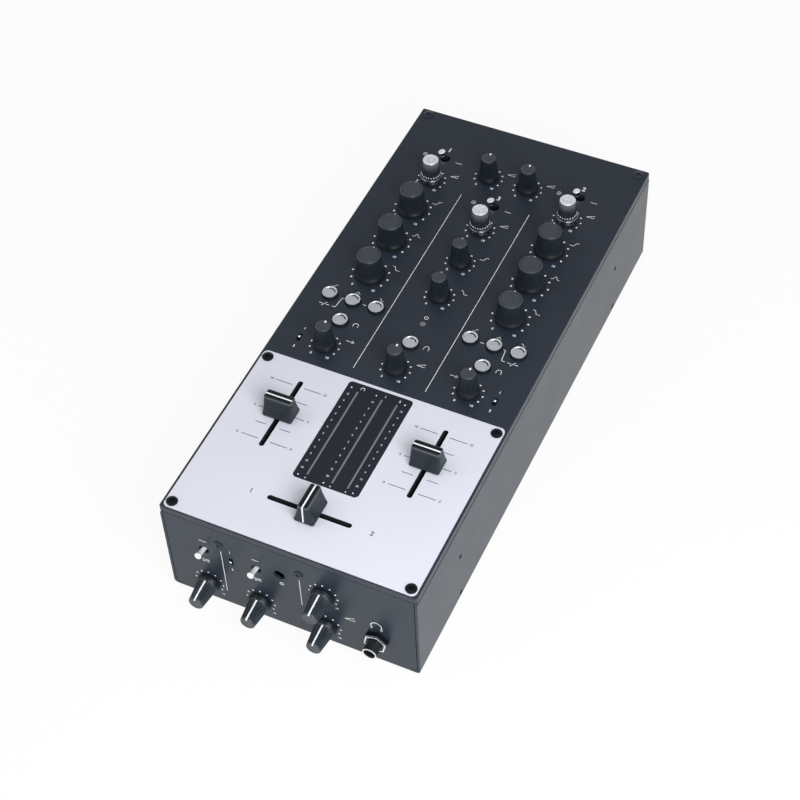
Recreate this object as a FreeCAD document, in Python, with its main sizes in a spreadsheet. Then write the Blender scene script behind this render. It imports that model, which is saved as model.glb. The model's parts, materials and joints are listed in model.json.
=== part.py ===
import FreeCAD, Part
import os
import re
import Sketcher

# Two-channel DJ mixer, in millimetres. X is the width, +Y points to the rear and +Z up.
# The origin is the middle of the footprint, on the surface that the rubber feet stand on.

SIZES = {
    # case
    "case_width": 150.0,
    "case_depth": 337.6,
    "case_height": 70.3,
    "sheet_gauge": 1.5,
    "plate_gauge": 4.0,
    "bend_radius": 2.5,
    "lip_gap": 1.2,
    "panel_seam": 0.4,
    "flange_width": 14.0,
    "flange_end_gap": 6.0,
    "plate_round": 1.2,
    "plate_edge_round": 0.6,
    "foot_radius": 7.5,
    "foot_taper": 0.8,
    "foot_height": 4.0,
    "foot_inset": 24.0,
    # bracket holes in the side walls
    "bracket_hole_radius": 1.6,
    "bracket_hole_low": 5.0,
    "bracket_hole_rise": 33.5,
    "bracket_hole_inset": 53.8,
    # fader plate and meter window
    "fader_plate_depth": 118.8,
    "fader_plate_gauge": 1.5,
    "plate_border_side": 1.5,
    "plate_border_front": 0.9,
    "plate_corner": 3.0,
    "recess_clearance": 0.2,
    "ledge_rear": 4.0,
    "ledge_front": 15.2,
    "window_width": 39.0,
    "window_corner": 2.5,
    "window_rear_margin": 1.8,
    "window_to_cross": 17.4,
    "window_clearance": 0.12,
    "meter_bar_width": 1.7,
    "meter_bar_height": 7.0,
    "meter_bar_margin": 5.5,
    "meter_cue_x": 11.9,
    "meter_left_x": 2.8,
    "meter_right_x": 11.9,
    # screws
    "screw_radius": 2.0,
    "screw_length": 8.0,
    "screw_head_radius": 3.2,
    "screw_head_height": 1.2,
    "screw_crown_radius": 2.2,
    "screw_edge_height": 0.5,
    "screw_clearance": 0.25,
    "screw_inset": 5.4,
    "plate_screw_rear": 4.6,
    "plate_screw_front": 4.2,
    "top_screw_rear": 4.8,
    "small_screw_radius": 1.5,
    "small_screw_length": 6.0,
    "small_head_radius": 2.7,
    "small_head_height": 1.1,
    "small_crown_radius": 1.6,
    "small_edge_height": 0.5,
    # control rows, as steps from the fader plate to the rear edge
    "fx_gap": 15.7,
    "fx_to_cue": 19.8,
    "cue_to_cut": 16.6,
    "cut_to_low": 23.0,
    "tone_pitch": 29.25,
    "high_to_gain": 27.4,
    "gain_to_master": 14.7,
    "gain_to_toggle": 20.1,
    "high_to_toggle": 20.4,
    "rear_margin": 36.8,
    # control columns
    "column_inset": 31.0,
    "master_offset": 12.7,
    "cut_pitch": 14.7,
    "slide_lip_gap": 2.0,
    # knobs and their spindles
    "spindle_radius": 3.0,
    "spindle_end_gap": 0.3,
    "run_clearance": 0.05,
    "panel_hole_clearance": 0.6,
    "knob_gap": 1.0,
    "knob_height": 15.8,
    "knob_bore_depth": 11.0,
    "knob_rim": 0.8,
    "knob_chamfer": 0.8,
    "skirt_height": 2.4,
    "small_skirt_radius": 6.7,
    "small_body_radius": 5.8,
    "small_top_radius": 4.4,
    "tone_skirt_radius": 9.1,
    "tone_body_radius": 8.0,
    "tone_top_radius": 7.0,
    # potentiometers and the boards that carry them
    "pot_width": 12.0,
    "pot_body_height": 7.0,
    "pot_bush_height": 6.0,
    "pot_bush_wall": 1.5,
    "pot_bore_depth": 10.0,
    "board_gauge": 1.6,
    "board_margin": 13.0,
    "board_overhang": 2.0,
    "post_radius": 3.0,
    "post_gap": 2.0,
    "trimmer_width": 7.0,
    "trimmer_screw_radius": 2.0,
    "trimmer_hole_radius": 3.4,
    "trimmer_body_height": 8.0,
    "trimmer_setback": 1.0,
    # push buttons and switches
    "button_radius": 4.6,
    "button_rim": 0.5,
    "button_height": 2.2,
    "button_dish_radius": 3.5,
    "button_dish_depth": 0.35,
    "button_skirt": 0.5,
    "button_clearance": 0.3,
    "stem_radius": 1.5,
    "stem_reach": 3.0,
    "stem_bore_depth": 5.2,
    "switch_width": 8.4,
    "switch_height": 7.0,
    # toggles
    "toggle_ball_radius": 2.25,
    "toggle_pivot_depth": 1.5,
    "toggle_root_radius": 1.35,
    "toggle_tip_radius": 2.2,
    "toggle_flare": 3.0,
    "toggle_length": 11.0,
    "front_toggle_length": 9.9,
    "toggle_shift": 0.4,
    "toggle_crown": 0.5,
    "toggle_lean": 13.0,
    "toggle_hole_radius": 3.0,
    "toggle_collar": 0.7,
    "lever_body_width": 8.0,
    "lever_body_length": 12.0,
    # micro slide switches
    "slide_width": 1.2,
    "slide_length": 1.3,
    "slide_proud": 0.8,
    "slide_travel": 3.0,
    "slide_clearance": 0.6,
    "slide_foot": 2.2,
    "slide_body_width": 5.0,
    "slide_body_length": 11.0,
    "slide_body_gap": 0.4,
    # faders
    "fader_travel": 45.0,
    "tongue_length": 4.0,
    "tongue_width": 1.2,
    "tongue_drop": 6.0,
    "tongue_rise": 7.0,
    "slot_width": 3.1,
    "slot_end_gap": 0.3,
    "fader_body_width": 9.0,
    "fader_body_height": 12.0,
    "fader_end_wall": 3.0,
    "fader_cap_length": 17.8,
    "fader_cap_width": 11.8,
    "fader_cap_ridge": 5.8,
    "fader_cap_height": 13.8,
    "fader_cap_gap": 0.7,
    "fader_cap_foot": 1.4,
    "fader_cap_waist": 8.8,
    "fader_cap_waist_height": 6.0,
    "cross_inset": 27.3,
    "cross_rest": 1.0,
    # front panel
    "front_inset": 24.0,
    "curve_pitch": 31.6,
    "curve_to_phones": 39.6,
    "phones_to_jack": 30.2,
    "jack_inset": 24.6,
    "front_low_row": 14.0,
    "front_high_drop": 27.9,
    "front_toggle_drop": 26.8,
    "front_slide_drop": 28.8,
    "front_slide_shift": 0.5,
    "front_screw_drop": 17.3,
    "front_screw_shift": 6.0,
    "trimmer_shift": 6.0,
    "trimmer_drop": 24.4,
    "jack_height": 18.6,
    "jack_bore_radius": 3.2,
    "jack_barrel_radius": 4.1,
    "jack_reach": 10.0,
    "jack_nut_flats": 12.7,
    "jack_nut_height": 3.4,
    "jack_nut_turn": 18.0,
    "jack_body_width": 13.0,
    "jack_body_depth": 16.0,
    "jack_back_wall": 3.2,
    # rear panel
    "rear_inset": 17.0,
    "phono_pitch": 14.0,
    "phono_to_rocker": 18.0,
    "rocker_to_inlet": 31.0,
    "inlet_inset": 28.0,
    "phono_low_row": 17.0,
    "phono_rise": 18.0,
    "phono_sleeve_radius": 4.15,
    "phono_sleeve_length": 9.0,
    "phono_collar_radius": 5.2,
    "phono_collar_proud": 0.8,
    "phono_hole_radius": 1.65,
    "phono_hole_depth": 8.0,
    "phono_block_depth": 11.0,
    "phono_block_margin": 6.0,
    "phono_block_gap": 0.4,
    "earth_drop": 20.0,
    "earth_stud_radius": 2.0,
    "earth_nut_radius": 5.0,
    "earth_nut_height": 6.0,
    "earth_washer_radius": 4.0,
    "earth_washer_height": 2.5,
    "earth_reach": 14.0,
    "earth_inner_nut_height": 3.0,
    "inlet_row": 24.0,
    "inlet_flange_width": 30.5,
    "inlet_flange_height": 24.0,
    "inlet_flange_gauge": 2.5,
    "inlet_body_width": 27.0,
    "inlet_body_height": 20.0,
    "inlet_body_depth": 20.0,
    "inlet_well_width": 24.0,
    "inlet_well_height": 16.4,
    "inlet_well_depth": 17.0,
    "inlet_pin_width": 2.0,
    "inlet_pin_height": 4.0,
    "inlet_pin_length": 14.0,
    "inlet_pin_pitch": 7.0,
    "inlet_earth_rise": 2.0,
    "opening_clearance": 0.3,
    "rocker_bezel_width": 15.0,
    "rocker_bezel_height": 21.0,
    "rocker_bezel_gauge": 2.0,
    "rocker_body_width": 12.8,
    "rocker_body_height": 19.0,
    "rocker_body_depth": 16.0,
    "rocker_well_depth": 6.0,
    "rocker_width": 10.2,
    "rocker_length": 16.4,
    "rocker_end_rise": 2.9,
    "rocker_waist_rise": 2.0,
    "rocker_end_drop": 0.8,
    "rocker_keel_drop": 2.4,
    "rocker_sink": 1.5,
    "rocker_clearance": 0.4,
    "rocker_pin_radius": 0.8,
    "rocker_pin_reach": 0.5,
    "rocker_lean": 8.0,
    # transformer and supply board
    "transformer_setback": 70.0,
    "transformer_inset": 40.0,
    "core_width": 56.0,
    "core_depth": 30.0,
    "core_height": 34.0,
    "coil_width": 32.0,
    "coil_depth": 52.0,
    "coil_height": 20.0,
    "core_foot_width": 70.0,
    "core_foot_gauge": 2.0,
    "supply_width": 60.0,
    "supply_depth": 80.0,
    "supply_gap": 75.0,
    "supply_post_height": 8.0,
    "supply_post_inset": 5.0,
}

# Levels and places that follow from the sizes
TOP = "(foot_height + case_height)"
UNDER = "(foot_height + case_height - plate_gauge)"
FLOOR = "(foot_height + sheet_gauge)"
FRONT = "(-case_depth / 2)"
REAR = "(case_depth / 2)"
HALF = "(case_width / 2)"
COLUMN = "(case_width / 2 - column_inset)"
BOARD_DEPTH = "(pot_bush_height + pot_body_height)"

PLATE_FRONT = f"({FRONT} + plate_border_front)"
PLATE_REAR = f"({PLATE_FRONT} + fader_plate_depth)"
PLATE_WIDTH = "(case_width - 2 * plate_border_side)"
PLATE_UNDER = f"({TOP} - fader_plate_gauge)"
CROSS_ROW = f"({PLATE_FRONT} + cross_inset)"
WINDOW_REAR = f"({PLATE_REAR} - window_rear_margin)"
WINDOW_FRONT = f"({CROSS_ROW} + window_to_cross)"
WINDOW_LENGTH = f"({WINDOW_REAR} - {WINDOW_FRONT})"
FADER_ROW = f"(({WINDOW_REAR} + {WINDOW_FRONT}) / 2)"
LIP_MOUTH = f"({COLUMN} + cut_pitch + button_radius + lip_gap)"
OPENING_HALF = f"({LIP_MOUTH} - post_gap - post_radius)"
SLIDE_X = f"({LIP_MOUTH} - slide_lip_gap - slide_body_width / 2)"
SLOT_LENGTH = "(fader_travel + tongue_length + 2 * slot_end_gap)"

FIELD = "(case_depth - plate_border_front - fader_plate_depth)"
ROW_STEPS = ("(fx_gap + fx_to_cue + cue_to_cut + cut_to_low + 2 * tone_pitch"
             " + high_to_gain + gain_to_toggle + rear_margin)")


def row(steps):
    # the rows are spread so that their steps always fill the field behind the fader plate
    return f"({PLATE_REAR} + ({steps}) * {FIELD} / {ROW_STEPS})"


FX_ROW = row("fx_gap")
CUE_ROW = row("fx_gap + fx_to_cue")
CUT_STEPS = "fx_gap + fx_to_cue + cue_to_cut"
CUT_ROW = row(CUT_STEPS)
LOW_ROW = row(f"{CUT_STEPS} + cut_to_low")
MID_ROW = row(f"{CUT_STEPS} + cut_to_low + tone_pitch")
HIGH_STEPS = f"{CUT_STEPS} + cut_to_low + 2 * tone_pitch"
HIGH_ROW = row(HIGH_STEPS)
GAIN_ROW = row(f"{HIGH_STEPS} + high_to_gain")
MASTER_ROW = row(f"{HIGH_STEPS} + high_to_gain + gain_to_master")
TOGGLE_ROW = row(f"{HIGH_STEPS} + high_to_gain + gain_to_toggle")
MIDDLE_TOGGLE_ROW = row(f"{HIGH_STEPS} + high_to_toggle")

FRONT_STEPS = "(front_inset + curve_pitch + curve_to_phones + phones_to_jack + jack_inset)"


def front_column(steps):
    # columns across the front panel, spread over the case width
    return f"({steps} - {FRONT_STEPS} / 2) * case_width / {FRONT_STEPS}"


CURVE_X = front_column("front_inset")
SLOPE_X = front_column("front_inset + curve_pitch")
PHONES_X = front_column("front_inset + curve_pitch + curve_to_phones")
JACK_X = front_column("front_inset + curve_pitch + curve_to_phones + phones_to_jack")
LEFT_GAP_X = f"(({CURVE_X}) + ({SLOPE_X})) / 2"
MIDDLE_GAP_X = f"(({SLOPE_X}) + ({PHONES_X})) / 2"
FRONT_LOW = "(foot_height + front_low_row)"
FRONT_HIGH = f"({TOP} - front_high_drop)"
FRONT_TOGGLE = f"({TOP} - front_toggle_drop)"
FRONT_SLIDE = f"({TOP} - front_slide_drop)"
FRONT_SCREW = f"({TOP} - front_screw_drop)"
TRIMMER_ROW = f"({TOP} - trimmer_drop)"
JACK_ROW = "(foot_height + jack_height)"

PHONO_COLUMNS = 5
REAR_STEPS = (f"(rear_inset + {PHONO_COLUMNS - 1} * phono_pitch + phono_to_rocker"
              " + rocker_to_inlet + inlet_inset)")


def rear_column(steps):
    # columns across the rear panel, spread over the case width
    return f"({steps} - {REAR_STEPS} / 2) * case_width / {REAR_STEPS}"


PHONO_SPREAD = f"(phono_pitch * case_width / {REAR_STEPS})"
LAST_PHONO = f"rear_inset + {PHONO_COLUMNS - 1} * phono_pitch"
ROCKER_X = rear_column(f"{LAST_PHONO} + phono_to_rocker")
INLET_X = rear_column(f"{LAST_PHONO} + phono_to_rocker + rocker_to_inlet")
EARTH_X = rear_column(f"{LAST_PHONO} + phono_to_rocker / 2")
PHONO_ROW = "(foot_height + phono_low_row + phono_rise / 2)"
INLET_ROW = "(foot_height + inlet_row)"
ROCKER_ROW = f"((foot_height + {UNDER}) / 2)"
EARTH_ROW = f"({TOP} - earth_drop)"

# Controls on the top panel: name, knob style, column, row
TOP_KNOBS = [
    ("knob_gain_1", "small", f"-{COLUMN}", GAIN_ROW),
    ("knob_gain_2", "small", COLUMN, GAIN_ROW),
    ("knob_gain_3", "small", "0", HIGH_ROW),
    ("knob_master", "small", "-master_offset", MASTER_ROW),
    ("knob_booth", "small", "master_offset", MASTER_ROW),
    ("knob_high_1", "tone", f"-{COLUMN}", HIGH_ROW),
    ("knob_mid_1", "tone", f"-{COLUMN}", MID_ROW),
    ("knob_low_1", "tone", f"-{COLUMN}", LOW_ROW),
    ("knob_high_2", "tone", COLUMN, HIGH_ROW),
    ("knob_mid_2", "tone", COLUMN, MID_ROW),
    ("knob_low_2", "tone", COLUMN, LOW_ROW),
    ("knob_high_3", "small", "0", MID_ROW),
    ("knob_low_3", "small", "0", LOW_ROW),
    ("knob_effect_1", "small", f"-{COLUMN}", FX_ROW),
    ("knob_effect_2", "small", COLUMN, FX_ROW),
    ("knob_level_3", "small", "0", FX_ROW),
]
FRONT_KNOBS = [
    ("knob_fader_curve", CURVE_X, FRONT_LOW),
    ("knob_cross_curve", SLOPE_X, FRONT_LOW),
    ("knob_cue_mix", PHONES_X, FRONT_HIGH),
    ("knob_phones_level", PHONES_X, FRONT_LOW),
]
BUTTONS = [
    ("button_high_1", f"-{COLUMN} - cut_pitch", CUT_ROW),
    ("button_mid_1", f"-{COLUMN}", CUT_ROW),
    ("button_low_1", f"-{COLUMN} + cut_pitch", CUT_ROW),
    ("button_high_2", f"{COLUMN} - cut_pitch", CUT_ROW),
    ("button_mid_2", COLUMN, CUT_ROW),
    ("button_low_2", f"{COLUMN} + cut_pitch", CUT_ROW),
    ("button_cue_1", f"-{COLUMN}", CUE_ROW),
    ("button_cue_2", COLUMN, CUE_ROW),
    ("button_cue_3", "0", CUE_ROW),
]
TOP_TOGGLES = [
    ("toggle_input_1", f"(toggle_shift - {COLUMN})", TOGGLE_ROW),
    ("toggle_input_2", f"(toggle_shift + {COLUMN})", TOGGLE_ROW),
    ("toggle_input_3", "toggle_shift", MIDDLE_TOGGLE_ROW),
]
FRONT_TOGGLES = [
    ("toggle_fader_reverse", CURVE_X, FRONT_TOGGLE),
    ("toggle_cross_reverse", SLOPE_X, FRONT_TOGGLE),
]
TOP_SLIDES = [
    ("slide_effect_1", f"-{SLIDE_X}", FX_ROW),
    ("slide_effect_2", SLIDE_X, FX_ROW),
]
FRONT_SLIDE_X = f"{LEFT_GAP_X} + front_slide_shift"
FRONT_SCREWS = [
    (f"{LEFT_GAP_X} - front_screw_shift", FRONT_SCREW),
    (f"{MIDDLE_GAP_X} + front_screw_shift", FRONT_SCREW),
]
TRIMMER_X = f"{MIDDLE_GAP_X} - trimmer_shift"
PLATE_SCREWS = [
    (f"{side} * ({HALF} - screw_inset)", line)
    for side in ("-1", "1")
    for line in (f"{PLATE_REAR} - plate_screw_rear", f"{PLATE_FRONT} + plate_screw_front")
]
TOP_SCREWS = [
    (f"{side} * ({HALF} - screw_inset)", f"{REAR} - top_screw_rear")
    for side in ("-1", "1")
]
FLOOR_SCREWS = [
    (f"{side} * {COLUMN}", f"{end} * ({REAR} - flange_width / 2 - sheet_gauge / 2)")
    for side in ("-1", "1")
    for end in ("-1", "1")
]

NO_TURN = FreeCAD.Rotation()
TO_FRONT = FreeCAD.Rotation(FreeCAD.Vector(1, 0, 0), 90)
TO_REAR = FreeCAD.Rotation(FreeCAD.Vector(1, 0, 0), -90)
QUARTER_TURN = FreeCAD.Rotation(FreeCAD.Vector(0, 0, 1), 90)
UPSIDE_DOWN = FreeCAD.Rotation(FreeCAD.Vector(1, 0, 0), 180)

doc = FreeCAD.newDocument("dj_mixer")
sheet = doc.addObject("Spreadsheet::Sheet", "sizes")
nodes = []


def fill_sheet():
    for line, (name, number) in enumerate(SIZES.items(), 1):
        sheet.set(f"A{line}", name)
        sheet.set(f"B{line}", str(number))
        sheet.setAlias(f"B{line}", name)
    doc.recompute()


def bound(text):
    # an expression in which every size name points at its cell in the sheet
    return re.sub(r"[a-z_]+", lambda word: f"sizes.{word.group()}" if word.group() in SIZES
                  else word.group(), text)


def value(text):
    return float(sheet.evalExpression(bound(text)))


def bind(item, **expressions):
    for name, text in expressions.items():
        item.setExpression(name, bound(text))


def place(item, x="0", y="0", z="0", turn=NO_TURN):
    item.Placement = FreeCAD.Placement(FreeCAD.Vector(), turn)
    for axis, text in (("x", x), ("y", y), ("z", z)):
        item.setExpression(f"Placement.Base.{axis}", bound(text))
    return item


def node(item, name):
    item.Label = name
    nodes.append(item)
    return item


def box(name, size_x, size_y, size_z, x="0", y="0", z="0"):
    # a block centred on x and y with its underside at z
    item = doc.addObject("Part::Box", name)
    bind(item, Length=size_x, Width=size_y, Height=size_z)
    return place(item, f"{x} - ({size_x}) / 2", f"{y} - ({size_y}) / 2", z)


def cylinder(name, radius, height, x="0", y="0", z="0", turn=NO_TURN):
    item = doc.addObject("Part::Cylinder", name)
    bind(item, Radius=radius, Height=height)
    return place(item, x, y, z, turn)


def fuse(name, parts):
    item = doc.addObject("Part::MultiFuse", name)
    item.Shapes = parts
    return item


def cut(name, base, tools):
    item = doc.addObject("Part::Cut", name)
    item.Base = base
    item.Tool = tools[0] if len(tools) == 1 else fuse(f"{name}_cutters", tools)
    return item


def group(name, parts):
    item = doc.addObject("Part::Compound", name)
    item.Links = parts
    return item


def copy(master, x="0", y="0", z="0", turn=NO_TURN):
    item = doc.addObject("App::Link", f"{master.Name}_copy")
    item.setLink(master)
    item.LinkTransform = True
    return place(item, x, y, z, turn)


def outline(body, name, role, points):
    # a closed sketch of straight lines through points given as pairs of expressions
    sketch = body.newObject("Sketcher::SketchObject", name)
    plane = next(item for item in body.Origin.OriginFeatures if item.Role == role)
    sketch.AttachmentSupport = (plane, [""])
    sketch.MapMode = "FlatFace"
    corners = [FreeCAD.Vector(value(u), value(v), 0) for u, v in points]
    count = len(corners)
    for k in range(count):
        sketch.addGeometry(Part.LineSegment(corners[k], corners[(k + 1) % count]), False)
    for k in range(count):
        sketch.addConstraint(Sketcher.Constraint("Coincident", k, 2, (k + 1) % count, 1))
    for k, corner in enumerate(points):
        for kind, axis, text in (("DistanceX", -2, corner[0]), ("DistanceY", -1, corner[1])):
            if text == "0":
                sketch.addConstraint(Sketcher.Constraint("PointOnObject", k, 1, axis))
                continue
            number = Sketcher.Constraint(kind, -1, 1, k, 1, value(text))
            index = sketch.addConstraint(number)
            label = f"{kind}{k}"
            sketch.renameConstraint(index, label)
            sketch.setExpression(f"Constraints.{label}", bound(text))
    return sketch


def turned(name, points):
    # a body turned about its own Z axis from points of radius and height
    body = doc.addObject("PartDesign::Body", name)
    sketch = outline(body, f"{name}_outline", "XZ_Plane", points)
    turn = body.newObject("PartDesign::Revolution", f"{name}_turn")
    turn.Profile = sketch
    turn.ReferenceAxis = (sketch, ["V_Axis"])
    turn.Angle = 360
    body.Tip = turn
    return body


def extruded(name, role, points, length, symmetric):
    body = doc.addObject("PartDesign::Body", name)
    pad = body.newObject("PartDesign::Pad", f"{name}_pad")
    pad.Profile = outline(body, f"{name}_outline", role, points)
    pad.SideType = "Symmetric" if symmetric else "One side"
    bind(pad, Length=length)
    body.Tip = pad
    doc.recompute()
    return body


def rounded(body, name, radius, chosen):
    # a fillet on the edges of the body for which chosen(edge) is true
    base = body.Tip
    names = [f"Edge{k}" for k, edge in enumerate(base.Shape.Edges, 1) if chosen(edge)]
    fillet = body.newObject("PartDesign::Fillet", name)
    fillet.Base = (base, names)
    bind(fillet, Radius=radius)
    body.Tip = fillet
    doc.recompute()


def runs_along(edge, axis):
    return len(edge.Vertexes) == 2 and abs(abs(edge.tangentAt(edge.FirstParameter).dot(axis)) - 1) < 1e-6


def rounded_block(name, size_x, size_y, size_z, radius, x="0", y="0", z="0"):
    # a plate centred on x and y with rounded upright corners and its underside at z
    half_x = f"({size_x}) / 2"
    half_y = f"({size_y}) / 2"
    corners = [(f"-{half_x}", f"-{half_y}"), (half_x, f"-{half_y}"), (half_x, half_y), (f"-{half_x}", half_y)]
    body = extruded(name, "XY_Plane", corners, size_z, False)
    rounded(body, f"{name}_corners", radius, lambda edge: runs_along(edge, FreeCAD.Vector(0, 0, 1)))
    return place(body, x, y, z)


def slot(name, length, width, depth, along, x, y, z):
    # a cutter with round ends, centred on x and y
    straight = f"({length}) - ({width})"
    reach = f"(({length}) - ({width})) / 2"
    radius = f"({width}) / 2"
    shapes = [box(f"{name}_middle", straight if along == "x" else width,
                  width if along == "x" else straight, depth, x, y, z)]
    for sign in ("-", "+"):
        end_x = f"{x} {sign} {reach}" if along == "x" else x
        end_y = y if along == "x" else f"{y} {sign} {reach}"
        shapes.append(cylinder(f"{name}_end", radius, depth, end_x, end_y, z))
    return fuse(name, shapes)


def holes(name, places, radius, z, depth):
    return [cylinder(name, radius, depth, x, y, z) for x, y in places]


def base_chassis():
    # folded tray: floor, side walls and the lips that carry the top panel
    inner = f"({HALF} - sheet_gauge)"
    lip = f"({UNDER} - sheet_gauge)"
    right = [(HALF, "foot_height"), (HALF, UNDER), (LIP_MOUTH, UNDER), (LIP_MOUTH, lip),
             (inner, lip), (inner, FLOOR)]
    left = [(f"-{x}", z) for x, z in reversed(right)]
    body = extruded("chassis_section", "XZ_Plane", right + left, "case_depth", True)
    depth_axis = FreeCAD.Vector(0, 1, 0)
    outside = value(HALF) - 1e-6
    wall = value(inner)
    levels = (value(lip), value(FLOOR))
    rounded(body, "outer_bends", "bend_radius",
            lambda edge: runs_along(edge, depth_axis) and abs(edge.Vertexes[0].X) > outside)
    rounded(body, "inner_bends", "bend_radius - sheet_gauge",
            lambda edge: runs_along(edge, depth_axis) and abs(abs(edge.Vertexes[0].X) - wall) < 1e-6
            and min(abs(edge.Vertexes[0].Z - level) for level in levels) < 1e-6)
    relief = "(sheet_gauge + panel_seam)"
    tools = [box("lip_relief", "case_width - 2 * sheet_gauge", f"2 * {relief}",
                 "bend_radius + sheet_gauge", "0", end, f"{UNDER} - bend_radius") for end in (FRONT, REAR)]
    thread = "screw_radius + run_clearance"
    tools += holes("lip_hole", PLATE_SCREWS + TOP_SCREWS, thread,
                   f"{UNDER} - 2 * sheet_gauge", "3 * sheet_gauge")
    tools += holes("floor_hole", FLOOR_SCREWS, "small_screw_radius + screw_clearance",
                   "foot_height - sheet_gauge", "3 * sheet_gauge")
    across = FreeCAD.Rotation(FreeCAD.Vector(0, 1, 0), 90)
    for end in ("-1", "1"):
        for rise in ("0", "bracket_hole_rise"):
            tools.append(cylinder("bracket_hole", "bracket_hole_radius", "2 * case_width", "-case_width",
                                  f"{end} * ({REAR} - bracket_hole_inset)",
                                  f"foot_height + bracket_hole_low + {rise}", across))
    return node(cut("base_chassis", body, tools), "base_chassis")


def end_panel(name, outward, tools):
    # an upright sheet between the side walls with a flange folded onto the floor
    end = FRONT if outward < 0 else REAR
    sheet_y = f"{end} - {outward} * sheet_gauge / 2"
    flange_y = f"{end} - {outward} * flange_width / 2"
    face = box(f"{name}_face", "case_width - 2 * (sheet_gauge + panel_seam)", "sheet_gauge",
               f"{UNDER} - {FLOOR} - 2 * panel_seam", "0", sheet_y, f"{FLOOR} + panel_seam")
    flange = box(f"{name}_flange", "case_width - 2 * flange_end_gap", "flange_width",
                 "sheet_gauge", "0", flange_y, FLOOR)
    ends = [spot for spot in FLOOR_SCREWS if spot[1].startswith(str(outward))]
    tools += holes(f"{name}_screw_hole", ends, "small_screw_radius + screw_clearance",
                   f"{FLOOR} - sheet_gauge", "3 * sheet_gauge")
    return node(cut(name, fuse(f"{name}_sheet", [face, flange]), tools), name)


def front_panel():
    depth = "3 * sheet_gauge"
    into = f"{FRONT} + 2 * sheet_gauge"
    spindle_hole = "spindle_radius + panel_hole_clearance"
    tools = []

    def drill(places, radius):
        for x, z in places:
            tools.append(cylinder("front_hole", radius, depth, x, into, z, TO_FRONT))

    drill([(x, z) for _, x, z in FRONT_KNOBS], spindle_hole)
    drill([(x, z) for _, x, z in FRONT_TOGGLES], "toggle_hole_radius")
    drill(FRONT_SCREWS, "small_screw_radius + screw_clearance")
    drill([(TRIMMER_X, TRIMMER_ROW)], "trimmer_hole_radius")
    drill([(JACK_X, JACK_ROW)], "jack_barrel_radius + screw_clearance")
    window = slide_slot("front_slide_slot", "sheet_gauge")
    tools.append(place(group("front_slide_cut", [window]), FRONT_SLIDE_X, FRONT, FRONT_SLIDE, TO_FRONT))
    return end_panel("front_panel", -1, tools)


def rear_panel():
    depth = "3 * sheet_gauge"
    out = f"{REAR} - 2 * sheet_gauge"
    tools = []
    for k in range(PHONO_COLUMNS):
        for sign in ("-", "+"):
            tools.append(cylinder("phono_hole", "phono_collar_radius + screw_clearance", depth,
                                  rear_column(f"rear_inset + {k} * phono_pitch"), out,
                                  f"{PHONO_ROW} {sign} phono_rise / 2", TO_REAR))
    tools.append(cylinder("earth_hole", "earth_stud_radius + screw_clearance", depth,
                          EARTH_X, out, EARTH_ROW, TO_REAR))
    gap = "2 * opening_clearance"
    for x, z, width, height in ((INLET_X, INLET_ROW, "inlet_body_width", "inlet_body_height"),
                                (ROCKER_X, ROCKER_ROW, "rocker_body_width", "rocker_body_height")):
        tools.append(box("rear_opening", f"{width} + {gap}", depth, f"{height} + {gap}", x, REAR,
                         f"{z} - {height} / 2 - opening_clearance"))
    return end_panel("rear_panel", 1, tools)


def slide_slot(name, gauge):
    # slot for a slide actuator, in a frame whose z = 0 is the panel's outer face
    return box(name, "slide_width + 2 * slide_clearance",
               "slide_length + slide_travel + 2 * slide_clearance", f"3 * {gauge}", "0", "0", f"-2 * {gauge}")


def top_panel():
    plate = rounded_block("top_blank", "case_width", "case_depth", "plate_gauge", "plate_round", z=UNDER)
    rounded(plate, "top_edges", "plate_edge_round",
            lambda edge: min(vertex.Z for vertex in edge.Vertexes) > 1e-6)
    depth = "3 * plate_gauge"
    low = f"{UNDER} - plate_gauge"
    plate_y = f"({PLATE_FRONT} + {PLATE_REAR}) / 2"
    tools = [rounded_block("plate_recess", f"{PLATE_WIDTH} + 2 * recess_clearance",
                           "fader_plate_depth + 2 * recess_clearance", "2 * fader_plate_gauge",
                           "plate_corner + recess_clearance", "0", plate_y, PLATE_UNDER)]
    opening_front = f"({PLATE_FRONT} + ledge_front)"
    opening_rear = f"({PLATE_REAR} - ledge_rear)"
    tools.append(box("fader_opening", f"2 * {OPENING_HALF}", f"{opening_rear} - {opening_front}", depth,
                     "0", f"({opening_front} + {opening_rear}) / 2", low))
    tools += holes("knob_hole", [(x, y) for _, _, x, y in TOP_KNOBS],
                   "spindle_radius + panel_hole_clearance", low, depth)
    tools += holes("button_hole", [(x, y) for _, x, y in BUTTONS],
                   "button_radius + button_clearance", low, depth)
    tools += holes("toggle_hole", [(x, y) for _, x, y in TOP_TOGGLES], "toggle_hole_radius", low, depth)
    tools += holes("light_hole", [("0", CUT_ROW)], "meter_bar_width + screw_clearance / 2", low, depth)
    tools += holes("screw_hole", PLATE_SCREWS + TOP_SCREWS, "screw_radius + screw_clearance", low, depth)
    for name, x, y in TOP_SLIDES:
        tools.append(place(group(f"{name}_cut", [slide_slot(f"{name}_slot", "plate_gauge")]), x, y, TOP))
    return node(cut("top_panel", plate, tools), "top_panel")


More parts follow.
